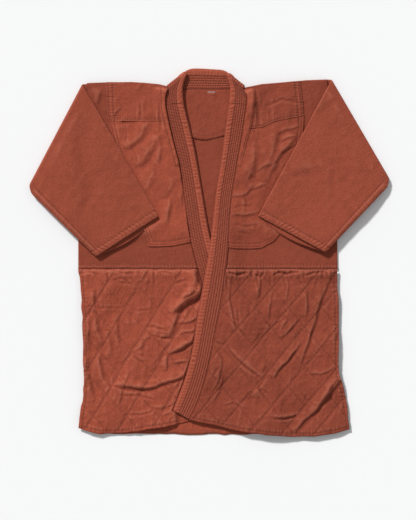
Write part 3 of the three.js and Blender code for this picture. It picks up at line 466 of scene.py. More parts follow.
def beside_line(x, y, line):
    """Distance from a line of points, positive on its left, and the share of it that is passed."""
    points = np.array(line, dtype=float)
    lengths = np.hypot(*(points[1:] - points[:-1]).T)
    nearest = np.full(np.shape(x), np.inf)
    side = np.zeros(np.shape(x))
    share = np.zeros(np.shape(x))
    passed = 0.0
    for (x0, y0), (x1, y1), length in zip(points[:-1], points[1:], lengths):
        dx = (x1 - x0) / length
        dy = (y1 - y0) / length
        along = np.clip((x - x0) * dx + (y - y0) * dy, 0, length)
        away = np.hypot(x - x0 - along * dx, y - y0 - along * dy)
        closer = away < nearest
        nearest = np.where(closer, away, nearest)
        side = np.where(closer, np.sign(dx * (y - y0) - dy * (x - x0)), side)
        share = np.where(closer, (passed + along) / lengths.sum(), share)
        passed += length
    return nearest * side, share


def eased(line):
    """A line of points made round at its corners."""
    stations = range(len(line))
    places = np.linspace(0, len(line) - 1, 4 * len(line) - 3)
    return list(zip(*[table_at(list(zip(stations, side)), places) for side in zip(*line)]))


def crumpled(x, y, pitch, seed, lean):
    """Crumple with sharp ridges between soft hollows, from -1 to 1."""
    first = uneven(x, y, pitch, seed, lean, 1.7)
    second = uneven(x, y, pitch * 0.55, seed + 1, lean + 1.9, 1.5)
    return 0.65 * (1 - 2.6 * np.abs(first)) + 0.35 * (1 - 2.6 * np.abs(second))


def wandering(x, y, reach, pitch, seed):
    """The same points moved about a little, so that what is drawn there wanders."""
    return x + reach * uneven(x, y, pitch, seed), y + reach * uneven(x, y, pitch, seed + 1)


def folds_at(folds, x, y):
    """Folds that stand over their foot, where they dip, and fall off softly behind it."""
    height = np.zeros(np.shape(x))
    x, y = wandering(*wandering(x, y, 2.6, 26, 301), 1.0, 9, 303)
    swell = 1 + 0.3 * uneven(x, y, 17, 305)
    for rise, steep, soft, foot in folds:
        behind, share = beside_line(x, y, eased(foot))
        ends = np.sin(np.pi * np.clip(share, 0, 1)) ** 0.6 * (swell if steep < 12 else 1)
        crest = smooth(behind / steep) * bell(np.maximum(behind - steep, 0), soft)
        dip = bell(behind + 0.1 * steep, 0.5 * steep)
        height += rise * ends * (crest - 0.2 * dip)
    return height


def creases_at(creases, x, y):
    height = np.zeros(np.shape(x))
    x, y = wandering(x, y, 1.6, 12, 307)
    for depth, width, line in creases:
        away, share = beside_line(x, y, line)
        ends = np.sin(np.pi * np.clip(share, 0, 1)) ** 0.5
        height += depth * ends * (0.5 * bell(away, 3.2 * width) - bell(away, width))
    return height


def puckers(away, along, pitch, reach, seed):
    """Short ridges across a row of stitches, from -1 to 1, that die out away from it."""
    drift = 1.6 * uneven(along, away * 0.3, pitch * 4, seed)
    strength = 0.55 + 0.45 * uneven(along, away * 0.1, pitch * 2.3, seed + 1)
    return np.cos(2 * np.pi * along / pitch + 2 * drift) * strength * np.exp(-np.abs(away) / reach)


def quilt_lattice(quilt, x, y):
    """How many steps a point lies from the first crossing, along both directions of the lines."""
    dx = x - quilt.origin[0]
    dy = y - quilt.origin[1]
    falling, rising = quilt.falling, quilt.rising
    area = falling[0] * rising[1] - falling[1] * rising[0]
    return (dx * rising[1] - dy * rising[0]) / area, (falling[0] * dy - falling[1] * dx) / area


def quilted(quilt, x, y, seed):
    """Puffed diamonds between lines of stitches, which gather the cloth a little."""
    along, across = quilt_lattice(quilt, x, y)
    weak = np.abs(along - np.round(along)) * QUILT_SPACING
    strong = np.abs(across - np.round(across)) * QUILT_SPACING
    puff = np.sqrt(np.abs(np.sin(np.pi * along) * np.sin(np.pi * across)))
    hollow_shade = (1 - 0.5 * bell(weak, 2.4)) * (1 - bell(strong, 2.6))
    gathers = 0.6 * puckers(weak, across * QUILT_SPACING, QUILT_PUCKERS, 6, seed + 2)
    gathers = gathers + puckers(strong, along * QUILT_SPACING, QUILT_PUCKERS, 6, seed + 4)
    return QUILT_RISE * (0.45 * puff + 0.34 * hollow_shade) + 0.5 * gathers


def stitched(height, away, along, pitch, seed, depth=0.5, reach=5.0, width=1.4):
    """A height with a row of stitches pressed into it and puckers across the row."""
    return height - depth * bell(away, width) + depth * puckers(away, along, pitch, reach, seed)


# ---- pieces ----------------------------------------------------------------------------------

low_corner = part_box("back_skirt")[0]
SHIFT = np.array([low_corner[0] - MM * SIDE_RIGHT, low_corner[1] - MM * BACK_HEM, 0.0])

# How a piece lies: its plan and height, the relief that pales its ridges as wear and darkens its
# hollows as painted shade, its place in the cut cloth, and its rows of stitches, which run where
# rows is 0 or ROW_STEP.
Laid = namedtuple("Laid", "x y z relief cut rows")
ROW_STEP = 10
NO_ROW = 5


def laid(x, y, z, relief=None, cut=None, rows=None):
    relief = z if relief is None else relief
    cut = (x, y) if cut is None else cut
    rows = (np.full_like(x, NO_ROW), x) if rows is None else rows
    return Laid(x, y, z, relief, cut, rows)


def double_row(inside, first, second):
    """The value of rows for two rows of stitches at these distances from an edge."""
    return np.clip((inside - first) / (second - first) * ROW_STEP, -NO_ROW, ROW_STEP + NO_ROW)


def softened(values, reach):
    """Each value of a grid averaged with its neighbours up to a reach of cells away."""
    for axis in (0, 1):
        margins = [(0, 0), (0, 0)]
        margins[axis] = (reach, reach)
        wide = np.pad(values, margins, mode="edge")
        size = values.shape[axis]
        values = sum(np.take(wide, range(k, k + size), axis) for k in range(2 * reach + 1))
        values = values / (2 * reach + 1)
    return values


def draw_layer(mesh, name, pair, loops):
    """A pair of values on a mesh's points, kept as a layer that a material reads."""
    layer = mesh.uv_layers.get(name) or mesh.uv_layers.new(name=name)
    layer.data.foreach_set("uv", np.column_stack(pair)[loops].ravel())


def closed_body(mesh, tube):
    """Joins a tube's two long edges, closes its ends where it is capped and turns its faces out."""
    body = bmesh.new()
    body.from_mesh(mesh)
    if tube:
        bmesh.ops.remove_doubles(body, verts=body.verts[:], dist=MM * 0.01)
    if tube == "capped":
        open_edges = [edge for edge in body.edges if edge.is_boundary]
        bmesh.ops.holes_fill(body, edges=open_edges)
    if tube:
        bmesh.ops.recalc_face_normals(body, faces=body.faces[:])
    elif sum(face.normal.z for face in body.faces) < 0:
        bmesh.ops.reverse_faces(body, faces=body.faces[:])
    body.to_mesh(mesh)
    body.free()


def sew(node, cells, place, fabric, wall, tube=None, dye=0.0, quilt=None):
    """A piece of cloth on a grid of cells, made on its face and then given its thickness.

    How much darker the piece is drawn, from 0 to 1, is partly its own tone and partly painted shade where it
    lies tilted or under other cloth.
    """
    name = f"{node}_cloth"
    mesh = bpy.data.meshes.new(name)
    grid = bmesh.new()
    bmesh.ops.create_grid(grid, x_segments=cells[0], y_segments=cells[1], size=0.5)
    grid.to_mesh(mesh)
    grid.free()
    corners = np.empty(len(mesh.vertices) * 3)
    mesh.vertices.foreach_get("co", corners)
    u, v, _ = corners.reshape(-1, 3).T
    piece_laid = place(ramp(u, u.min(), u.max()), ramp(v, v.min(), v.max()))
    points = np.column_stack([piece_laid.x, piece_laid.y, piece_laid.z]) * MM + SHIFT
    mesh.vertices.foreach_set("co", points.ravel())
    loops = np.empty(len(mesh.loops), dtype=np.int32)
    mesh.loops.foreach_get("vertex_index", loops)
    draw_layer(mesh, "cut", [side * MM for side in piece_laid.cut], loops)
    draw_layer(mesh, "rows", [side * MM for side in piece_laid.rows], loops)
    if quilt:
        draw_layer(mesh, "quilt", quilt_lattice(quilt, *piece_laid.cut), loops)
    relief = piece_laid.relief.reshape(cells[1] + 1, cells[0] + 1)
    # relief against its surroundings: ridges are paled as wear, hollows are darkened as painted shade
    wear_and_hollow_shade = mesh.attributes.new("wear_and_hollow_shade", "FLOAT", "POINT")
    wear_and_hollow_shade.data.foreach_set("value", (relief - softened(relief, 3)).ravel())
    # the piece's darkening: partly its own tone, partly painted shade
    depth = mesh.attributes.new("dye", "FLOAT", "POINT")
    depth.data.foreach_set("value", np.full(relief.size, dye))
    closed_body(mesh, tube)
    mesh.shade_smooth()
    piece = bpy.data.objects.new(name, mesh)
    bpy.context.collection.objects.link(piece)
    mesh.materials.append(fabric.material)
    thickness = piece.modifiers.new("cloth", "SOLIDIFY")
    thickness.thickness = MM * wall
    thickness.offset = -1
    thickness.use_even_offset = False
    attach(piece, "root")
    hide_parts(node)
    return piece


def panel(u, v, left, right, foot, top):
    """Plan of a panel between a left and a right guide over y, and a foot and a top over x."""
    x = lerp(-100.0, 100.0, u)
    y = lerp(-100.0, 100.0, v)
    for _ in range(10):
        y = lerp(foot(x), top(x), v)
        x = lerp(left(y), right(y), u)
    return x, y


def level(height):
    """A guide that runs straight across."""
    return lambda place: height + 0 * place


def curve(table):
    return lambda place: table_at(table, place)


def straight(table):
    return lambda place: line_at(table, place)


def moved(guide, distance):
    return lambda place: guide(place) + distance


def wavy(guide, rise, pitch, seed):
    """A guide that the stitches or the cloth's own slackness draw in and out a little."""
    return lambda place: guide(place) + rise * uneven(place, 0 * place, pitch, seed)


# ---- heights of the layers -------------------------------------------------------------------

Front = namedtuple(
    "Front",
    "word side seam rest armhole patch strip shoulder foot shoulder_foot folds creases dye neck sleeve")
FRONTS = [
    Front("right", -1, RIGHT_SEAM, RIGHT_REST, RIGHT_ARMHOLE, RIGHT_PATCH_SIDE, RIGHT_STRIP_SIDE,
          RIGHT_SHOULDER, RIGHT_PATCH_FOOT, RIGHT_SHOULDER_PATCH_FOOT, RIGHT_FRONT_FOLDS,
          RIGHT_FRONT_CREASES, 0.0, -91, RIGHT_SLEEVE),
    Front("left", 1, LEFT_SEAM, LEFT_REST, LEFT_ARMHOLE, LEFT_PATCH_SIDE, LEFT_STRIP_SIDE,
          LEFT_SHOULDER, LEFT_PATCH_FOOT, LEFT_SHOULDER_PATCH_FOOT, LEFT_FRONT_FOLDS,
          LEFT_FRONT_CREASES, 0.14, 73, LEFT_SLEEVE),
]


waist_seam = wavy(level(WAIST), 0.9, 11, 57)


def front_seam(front, y):
    """Where a front ends at its lapel and, above that, beside the collar."""
    beside_collar = ramp(y, COLLAR_FOOT, COLLAR_BACK[0][1]) ** 3
    return lerp(table_at(front.seam, y), front.neck, beside_collar) + front.side * SEAM_GAP


def front_height(front, x, y):
    """Face of a front's cloth, with the folds that the patches on it share."""
    seam = table_at(front.seam, y)
    rest = table_at(front.rest, y)
    reach = 1 - smooth(front.side * (x - seam) / LAPEL_REACH)
    below_shoulder = line_at(front.shoulder, x) - y
    lifted = (rest - FRONT_REST) * reach * smooth(below_shoulder / SHOULDER_EASE)
    on_yoke = 1 - smooth((np.abs(x) - YOKE_EASE_SIDE) / YOKE_EASE)
    yoke = YOKE_LIFT * smooth((y - YOKE_EASE_FOOT) / YOKE_EASE) * on_yoke
    relief = folds_at(front.folds, x, y) + creases_at(front.creases, x, y)
    patched = smooth((y - PATCHED_FROM) / PATCHED_EASE)
    broad = 0.5 + 0.5 * uneven(x, y, 27, 11 + front.side, 0.9, 1.8)
    narrow = 0.5 + 0.5 * crumpled(x, y, 17, 15 + front.side, 1.2 + 0.4 * front.side)
    fine = uneven(x, y, 9, 21 + front.side, 0.9, 2.0)
    wide = 0.5 + 0.5 * uneven(x, y, 50, 13 + front.side, 1.1, 1.4)
    relief = relief + broad * lerp(0.5, 3.2, patched) + wide * lerp(0.3, 5.0, patched)
    relief = relief + patched * (0.8 * narrow + 0.25 * fine)
    sleeve_edge = front.sleeve.shoulder, front.sleeve.cuff_top, front.sleeve.cuff_under
    uncovered = -front.side * beside_line(x, y, sleeve_edge)[0]
    shown = smooth((uncovered + UNDER_SLEEVE_REACH) / UNDER_SLEEVE_EASE)
    pressed = lerp(UNDER_SLEEVE, 1, shown)
    return FRONT_REST + np.maximum(lifted, yoke) + BODY_CLOTH + relief * pressed


# ---- materials -------------------------------------------------------------------------------


class Term:
    """A value in a material's nodes that is written with plain arithmetic."""

    def __init__(self, tree, socket):
        self.tree = tree
        self.socket = socket

    def math(self, operation, *others, first=None):
        node = self.tree.nodes.new("ShaderNodeMath")
        node.operation = operation
        values = (self, *others) if first is None else (first, self)
        for socket, value in zip(node.inputs, values):
            join(self.tree, value, socket)
        return Term(self.tree, node.outputs[0])

    def __add__(self, other):
        return self.math("ADD", other)

    def __sub__(self, other):
        return self.math("SUBTRACT", other)

    def __mul__(self, other):
        return self.math("MULTIPLY", other)

    def __truediv__(self, other):
        return self.math("DIVIDE", other)

    def __pow__(self, other):
        return self.math("POWER", other)

    def __rsub__(self, other):
        return self.math("SUBTRACT", first=other)

    __radd__ = __add__
    __rmul__ = __mul__

    def sine(self):
        return self.math("SINE")

    def size(self):
        return self.math("ABSOLUTE")

    def whole(self):
        return self.math("FLOOR")

    def part(self):
        return self.math("FRACT")

    def at_least(self, other):
        return self.math("MAXIMUM", other)

    def between(self, start, end):
        """0 below start, 1 above end, and a soft step between them."""
        node = self.tree.nodes.new("ShaderNodeMapRange")
        node.interpolation_type = "SMOOTHSTEP"
        join(self.tree, self, node.inputs["Value"])
        node.inputs["From Min"].default_value = start
        node.inputs["From Max"].default_value = end
        return Term(self.tree, node.outputs["Result"])


def join(tree, value, socket):
    if isinstance(value, Term):
        tree.links.new(value.socket, socket)
    else:
        socket.default_value = value


class Cloth:
    """A material with its shader and the places that its weave is drawn by."""

    def __init__(self, name, roughness, sheen):
        self.material = bpy.data.materials.new(name)
        self.material.use_nodes = True
        self.tree = self.material.node_tree
        self.tree.nodes.clear()
        output = self.tree.nodes.new("ShaderNodeOutputMaterial")
        self.shader = self.tree.nodes.new("ShaderNodeBsdfPrincipled")
        self.tree.links.new(self.shader.outputs["BSDF"], output.inputs["Surface"])
        self.shader.inputs["Roughness"].default_value = roughness
        self.shader.inputs["Sheen Weight"].default_value = sheen
        self.shader.inputs["Sheen Roughness"].default_value = 0.6
        self.shader.inputs["Sheen Tint"].default_value = (1.0, 0.62, 0.5, 1.0)
        self.shader.inputs["Specular IOR Level"].default_value = 0.2
        self.place = self.node("ShaderNodeUVMap", {"uv_map": "cut"}, {}, "UV")
        self.across, self.along = self.pair("cut", 1000)
        self.row, self.row_run = self.pair("rows", 1000)
        # relief against its surroundings, which pales ridges as wear and darkens hollows as painted shade
        self.wear_and_hollow_shade = self.node("ShaderNodeAttribute", {"attribute_name": "wear_and_hollow_shade"}, {}, "Fac")
        self.dye = self.node("ShaderNodeAttribute", {"attribute_name": "dye"}, {}, "Fac")

    def node(self, kind, settings, sockets, output):
        """Any other node: its settings are set first, then its sockets are filled or linked."""
        node = self.tree.nodes.new(kind)
        for key, value in settings.items():
            setattr(node, key, value)
        for key, value in sockets.items():
            join(self.tree, value, node.inputs[key])
        return node if output is None else Term(self.tree, node.outputs[output])

    def pair(self, layer, scale):
        """Both values of one of the mesh's layers."""
        place = self.node("ShaderNodeUVMap", {"uv_map": layer}, {}, "UV")
        parts = self.node("ShaderNodeSeparateXYZ", {}, {"Vector": place}, None)
        return (Term(self.tree, parts.outputs["X"]) * scale, Term(self.tree, parts.outputs["Y"]) * scale)

    def clouds(self, scale, detail=2.0, roughness=0.5, stretch=(1, 1, 1)):
        """Soft noise from 0 to 1 with so many clouds to the metre."""
        drawn = self.node("ShaderNodeMapping", {}, {"Vector": self.place, "Scale": stretch}, "Vector")
        sockets = {"Vector": drawn, "Scale": scale, "Detail": detail, "Roughness": roughness}
        return self.node("ShaderNodeTexNoise", {}, sockets, "Fac")

    def blend(self, share, first, second):
        node = self.node("ShaderNodeMix", {"data_type": "RGBA"}, {}, None)
        join(self.tree, share, node.inputs["Factor"])
        join(self.tree, first, node.inputs[6])
        join(self.tree, second, node.inputs[7])
        return Term(self.tree, node.outputs[2])

    def row_stitches(self):
        """Stitches and the holes between them along the piece's rows, each from 0 to 1."""
        away = (self.row - (self.row / ROW_STEP + 0.5).whole() * ROW_STEP).size()
        return sewn(away, self.row_run / STITCH)

    def finish(self, colour, height, stitch, hole):
        """Adds the stitches, with painted shade in their holes, darkens the piece by its own tone and
        painted shade, and gives the shader its colour and the weave's height in millimetres.
        """
        # painted shade in the stitch holes
        colour = self.blend(hole * 0.7, colour, STITCH_HOLE_SHADE)
        colour = self.blend(stitch * 0.35, colour, TERRACOTTA_PALE)
        # darkens the piece: partly its own tone, partly painted shade
        colour = self.blend(self.dye, colour, SHADE)
        height = height + stitch * 0.25 - hole * 0.5
        join(self.tree, colour, self.shader.inputs["Base Color"])
        bump = self.node("ShaderNodeBump", {}, {"Strength": 1.0, "Distance": MM, "Height": height}, "Normal")
        join(self.tree, bump, self.shader.inputs["Normal"])
        return self.material


TERRACOTTA = (0.308, 0.0620, 0.0315, 1.0)
TERRACOTTA_TWILL = (0.314, 0.0598, 0.0292, 1.0)
# deeper tone for random clouds and flecks; it is also painted into hollows and pits as shade
TERRACOTTA_DEEP = (0.190, 0.0330, 0.0165, 1.0)
TERRACOTTA_PALE = (0.430, 0.120, 0.0700, 1.0)
# painted shade for the holes between stitches
STITCH_HOLE_SHADE = (0.090, 0.0150, 0.0080, 1.0)
SHADE = (0.0, 0.0, 0.0, 1.0)
GREY = (0.27, 0.23, 0.22, 1.0)
TWILL_PIT_SHADE = 0.1  # how much painted shade darkens the pits between the twill's ribs


def sewn(away, run):
    """Stitches and holes on a row, from the distance to it and the stitches passed on it."""
    near = 1 - away.between(0.4, 1.1)
    thread = run.part().between(0.34, 0.44)
    return near * thread, near * (1 - thread)


def dyed_with_painted_shade(cloth, base, grain, pit_shade_share):
    """Garment dye, paler on the ridges as wear and a little cloudy; painted shade deepens the valleys and
    the weave's pits.
    """
    cloudy = cloth.clouds(9, 3.0) * 0.5 + cloth.clouds(55, 3.0, 0.6) * 0.5
    deep = 1 - cloudy.between(0.33, 0.62)
    colour = cloth.blend(deep * 0.28, base, TERRACOTTA_DEEP)
    # painted shade: darker in the hollows of the relief
    hollow_shade = (cloth.wear_and_hollow_shade * -1).between(0.02, 0.7)
    colour = cloth.blend(hollow_shade * 0.6, colour, TERRACOTTA_DEEP)
    flecks = cloth.clouds(420, 2.0, 0.7)
    rubbed = cloth.wear_and_hollow_shade.between(0.03, 0.6) * 0.5 + flecks.between(0.5, 0.7) * 0.4
    colour = cloth.blend(rubbed, colour, TERRACOTTA_PALE)
    colour = cloth.blend((1 - flecks.between(0.32, 0.5)) * 0.5, colour, TERRACOTTA_DEEP)
    # painted shade in the pits of the weave
    weave_pit_shade = 1 - grain.between(0.0, 0.55)
    return cloth.blend(weave_pit_shade * pit_shade_share, colour, TERRACOTTA_DEEP)


def rice_grain(cloth, width, length):
    """Raised grains of weft in staggered rows, from 0 in the pits to 1."""
    row = cloth.along / length
    shifted = cloth.across / width + row.whole() * 0.5
    ridge = (shifted.part() * math.pi).sine()
    return (ridge * (row.part() * math.pi).sine()).at_least(0.0) ** 0.6


def twill(cloth, pitch):
    """Fine ribs that run up to the right, broken by the threads that cross them."""
    rib = ((cloth.across - cloth.along) / pitch).part() * math.pi
    thread = (cloth.along / (pitch * 0.6)).part() * math.pi
    return rib.sine() * 0.75 + thread.sine() * 0.25


def body_cloth():
    cloth = Cloth("body cloth", 0.92, 0.06)
    grain = rice_grain(cloth, 3.8, 2.1)
    slub = cloth.clouds(260, 3.0, 0.65, (1.0, 2.2, 1.0))
    rumple = cloth.clouds(60, 3.0, 0.55)
    colour = dyed_with_painted_shade(cloth, TERRACOTTA, grain * 0.8 + slub * 0.3, 0.5)
    return cloth.finish(colour, grain * 0.45 + slub * 1.1 + rumple * 2.4, *cloth.row_stitches())


def skirt_cloth():
    cloth = Cloth("skirt cloth", 0.88, 0.06)
    weave = twill(cloth, 0.9)
    crumple = cloth.clouds(55, 4.0, 0.5, (1.7, 1.0, 1.0))
    falling, rising = cloth.pair("quilt", 1)
    strong = (rising - (rising + 0.5).whole()).size() * QUILT_SPACING
    weak = (falling - (falling + 0.5).whole()).size() * QUILT_SPACING
    stitch, hole = sewn(strong, falling * QUILT_STITCHES)
    weak_stitch, weak_hole = sewn(weak, rising * QUILT_STITCHES)
    row_stitch, row_hole = cloth.row_stitches()
    colour = dyed_with_painted_shade(cloth, TERRACOTTA_TWILL, weave, TWILL_PIT_SHADE)
    return cloth.finish(
        colour, weave * 0.06 + crumple * 3.6,
        (stitch * 0.7).at_least(weak_stitch * 0.4).at_least(row_stitch),
        (hole * 0.75).at_least(weak_hole * 0.4).at_least(row_hole),
    )


def patch_cloth():
    cloth = Cloth("patch cloth", 0.88, 0.06)
    weave = twill(cloth, 0.8)
    crumple = cloth.clouds(48, 4.0, 0.5, (1.4, 1.0, 1.0))
    colour = dyed_with_painted_shade(cloth, TERRACOTTA_TWILL, weave, TWILL_PIT_SHADE)
    return cloth.finish(colour, weave * 0.06 + crumple * 3.4, *cloth.row_stitches())


def lapel_cloth():
    cloth = Cloth("lapel cloth", 0.88, 0.08)
    weave = twill(cloth, 0.8)
    share = cloth.across / LAPEL_WIDTH
    row = (share - RIB_START) / RIB_PITCH
    away = (row - (row + 0.5).whole()).size() * RIB_PITCH * LAPEL_WIDTH
    ribbed = 1 - share.between(ROLL_START + 0.01, ROLL_START + 0.03)
    stitch, hole = sewn(away, cloth.along / LAPEL_STITCH)
    knot = ((cloth.along / LAPEL_STITCH - 0.15).part() * math.pi).sine() * (row.part() * math.pi).sine()
    # painted shade in the pits between the knots of the stitched ribs
    knot_pit_shade = (1 - knot.between(0.1, 0.75)) * ribbed
    colour = dyed_with_painted_shade(cloth, TERRACOTTA_TWILL, weave, TWILL_PIT_SHADE)
    colour = cloth.blend(knot_pit_shade * 0.7, colour, TERRACOTTA_DEEP)
    crumple = cloth.clouds(120, 3.0, 0.6)
    return cloth.finish(
        colour, weave * 0.05 + crumple * 2.0 + knot * ribbed * 1.1,
        stitch * ribbed, hole * ribbed,
    )


def label_cloth():
    cloth = Cloth("label cloth", 0.8, 0.1)
    threads = (cloth.across / 0.7).part().between(0.2, 0.5) * 0.1
    woven = cloth.along.between(5.2, 5.6) * (1 - cloth.along.between(7.4, 7.8))
    return cloth.finish(cloth.blend(woven, TERRACOTTA, GREY), threads, *cloth.row_stitches())


Fabric = namedtuple("Fabric", "material slot")
BODY = Fabric(body_cloth(), "body_cloth")
SKIRT = Fabric(skirt_cloth(), "skirt_cloth")
PATCH = Fabric(patch_cloth(), "patch_cloth")
LAPEL = Fabric(lapel_cloth(), "lapel_cloth")
LABEL = Fabric(label_cloth(), "label_cloth")

# ---- back ------------------------------------------------------------------------------------


def back_panel(u, v):
    x, y = panel(
        u, v, curve(RIGHT_ARMHOLE), curve(LEFT_ARMHOLE), level(WAIST + PLY_GAP), straight(BACK_TOP),
    )
    relief = 0.35 * (1 + uneven(x, y, 30, 31, 1.3, 2.0)) + 0.15 * uneven(x, y, 9, 32)
    return laid(x, y, BODY_CLOTH + relief, relief)


def back_skirt(u, v):
    x, y = panel(
        u, v, curve(RIGHT_SKIRT_SIDE), moved(curve(LEFT_SKIRT_SIDE), -BACK_SKIRT_DRAWN_IN),
        wavy(straight(BACK_SKIRT_HEM), 1.6, 16, 149), level(WAIST),
    )
    relief = 0.12 * (1 + uneven(x, y, 18, 33))
    hem = y - line_at(BACK_SKIRT_HEM, x)
    return laid(x, y, SKIRT_CLOTH + relief, relief, rows=(np.minimum(hem - HEM_ROW, NO_ROW), x))


def back_yoke(u, v):
    x, y = panel(
        u, v, level(-YOKE_HALF_WIDTH), level(YOKE_HALF_WIDTH), curve(YOKE_FOOT), level(YOKE_TOP),
    )
    above = y - table_at(YOKE_FOOT, x)
    relief = 1.1 * (1 + uneven(x, y, 34, 35, 0.6, 1.6)) + 0.3 * uneven(x, y, 11, 37)
    relief = stitched(relief, above - YOKE_ROWS[0], x, YOKE_PUCKERS, 41, 0.45)
    relief = stitched(relief, above - YOKE_ROWS[1], x, YOKE_PUCKERS, 43, 0.5)
    rows = double_row(above, *YOKE_ROWS), x
    return laid(x, y, YOKE_REST + YOKE_CLOTH + relief, relief, rows=rows)


def neck_label(u, v):
    x = lerp(LABEL_LEFT, LABEL_RIGHT, u)
    y = lerp(LABEL_FOOT, LABEL_TOP, v)
    height = np.full_like(x, YOKE_REST + YOKE_CLOTH + PLY_GAP + LABEL_CLOTH)
    return laid(x, y, height, 0 * x, (x - LABEL_LEFT, y - LABEL_FOOT))


# ---- fronts, patches and strips ---------------------------------------------------------------


def sides(front, outer_table):
    """The guides on the left and on the right of a piece that ends at the lapel's seam."""
    seam = partial(front_seam, front)
    outer = curve(outer_table)
    return (outer, seam) if front.side < 0 else (seam, outer)


def front_panel(front, u, v):
    x, y = panel(
        u, v, *sides(front, front.armhole), moved(waist_seam, PLY_GAP), straight(front.shoulder))
    height = front_height(front, x, y)
    above = y - WAIST
    band = FELL_RISE * smooth((WAIST_BAND + 1 - above) / 2)
    height = height + band + 0.9 * puckers(above - sum(BAND_ROWS) / 2, x, BAND_PUCKERS, 6, 55)
    height = stitched(height, above - BAND_ROWS[0], x, BAND_PUCKERS, 51, 0.9, 4)
    height = stitched(height, above - BAND_ROWS[1], x, BAND_PUCKERS, 53, 1.2, 6)
    return laid(x, y, height, rows=(double_row(above, *BAND_ROWS), x))


def patch_height(front, x, y, layer):
    return front_height(front, x, y) + layer * (PLY_GAP + PATCH_CLOTH)


def chest_patch(front, u, v):
    x, y = panel(
        u, v, *sides(front, front.patch), curve(front.foot),
        moved(straight(front.shoulder_foot), -SEAM_GAP),
    )
    above = y - table_at(front.foot, x)
    inside = np.minimum(above, front.side * (table_at(front.patch, y) - x))
    height = patch_height(front, x, y, 1) + 0.5 * bell(inside, 3.5)
    for row in CHEST_ROWS:
        height = stitched(height, inside - row, x + y, PATCH_PUCKERS, 61 + row, 0.8, 7)
    return laid(x, y, height, rows=(double_row(inside, *CHEST_ROWS), x + y))


def shoulder_patch(front, u, v):
    x, y = panel(
        u, v, *sides(front, front.patch), straight(front.shoulder_foot), straight(front.shoulder))
    above = y - line_at(front.shoulder_foot, x)
    inside = front.side * (table_at(front.patch, y) - x)
    height = patch_height(front, x, y, 1) + 1.0 * bell(above - 1, 3.5) + 0.6 * bell(inside, 3.5)
    height = stitched(height, above - SHOULDER_FOOT_ROW, x, PATCH_PUCKERS, 71, 1.0, 8)
    for row in SHOULDER_ROWS:
        height = stitched(height, inside - row, y, PATCH_PUCKERS, 75 + row, 0.9, 7)
    rows = double_row(inside, *SHOULDER_ROWS)
    rows = np.where(above < SHOULDER_FOOT_BAND, above - SHOULDER_FOOT_ROW, rows)
    return laid(x, y, height, rows=(rows, x + y))


def neck_strip(front, u, v):
    x, y = panel(
        u, v, *sides(front, front.strip), level(STRIP_FOOT),
        moved(straight(front.shoulder), -STRIP_DROP),
    )
    inside = np.minimum(front.side * (table_at(front.strip, y) - x), y - STRIP_FOOT)
    height = patch_height(front, x, y, 2)
    height = stitched(height, inside - STRIP_ROW, x + y, STRIP_PUCKERS, 81, 1.1, 5)
    return laid(x, y, height, rows=(np.minimum(inside - STRIP_ROW, NO_ROW), x + y))


# ---- skirts ----------------------------------------------------------------------------------


def skirt_rumple(x, y, broad, narrow_rise, fine_lean, seed):
    """Unevenness of a skirt in four sizes; the broadest is given by its rise, pitch and lean."""
    rise, pitch, lean = broad
    relief = rise * (1 + uneven(x, y, pitch, seed, lean, 1.3))
    relief = relief + narrow_rise * (1 + uneven(x, y, 30, seed + 2, 1.2, 1.7))
    relief = relief + 0.6 * (1 + crumpled(x, y, 21, seed + 4, 1.3))
    return relief + 0.35 * uneven(x, y, 8, seed + 5, fine_lean, 2.4)


def skirt_rows(relief, x, y, hem, side, side_depth, seed):
    """The relief with its rows of stitches at the hem and the side, and the value of rows."""
    relief = stitched(relief, hem - HEM_ROW, x, SKIRT_PUCKERS, seed, 0.7, 5)
    relief = stitched(relief, side - SIDE_ROW, y, SKIRT_PUCKERS, seed + 2, side_depth, 5)
    nearest = np.minimum(hem - HEM_ROW, side - SIDE_ROW)
    return relief, (np.minimum(nearest, NO_ROW), x + y)


def skirt_right(u, v):
    x, y = panel(
        u, v, wavy(curve(RIGHT_SKIRT_SIDE), 1.6, 20, 141), moved(curve(RIGHT_SEAM), -SEAM_GAP),
        wavy(straight(RIGHT_HEM), 1.3, 22, 143), waist_seam,
    )
    cut = x + 1.8 * uneven(x, y, 60, 101), y + 1.8 * uneven(x, y, 60, 102)
    lapel_edge = table_at(LEFT_EDGE, y)
    covered = np.minimum(lapel_edge + COVERED_REACH, table_at(RIGHT_SEAM, y) - COVERED_MARGIN)
    shown = smooth((covered - x) / COVERED_EASE)
    below = WAIST - y
    hem = y - line_at(RIGHT_HEM, x)
    side = x - table_at(RIGHT_SKIRT_SIDE, y)
    relief = quilted(RIGHT_QUILT, *cut, 103) * smooth(hem / 12)
    relief = relief + folds_at(RIGHT_SKIRT_FOLDS, x, y) + creases_at(RIGHT_SKIRT_CREASES, x, y)
    relief = relief + skirt_rumple(x, y, (3.2, 50, 1.0), 1.3, 1.4, 109)
    relief = relief + 1.5 * uneven(x, 0.35 * y, 9, 115, 0.2) * bell(below - 6, 14)
    relief, rows = skirt_rows(relief, x, y, hem, side, 0.5, 117)
    relief = np.maximum(relief, 0) * smooth(below / 8 + 0.4 + 0.15 * uneven(x, 0 * x, 12, 151)) * shown
    under_lapel = table_at(LEFT_REST, y) - PLY_GAP - SKIRT_REST - SKIRT_CLOTH
    clear = np.maximum(lapel_edge - COVERED_MARGIN - x, line_at(LEFT_LAPEL_END, x) - y)
    relief = np.minimum(relief, under_lapel + np.maximum(clear, 0) * COVERED_SLOPE)
    return laid(x, y, SKIRT_REST + SKIRT_CLOTH + relief, relief, cut, rows)


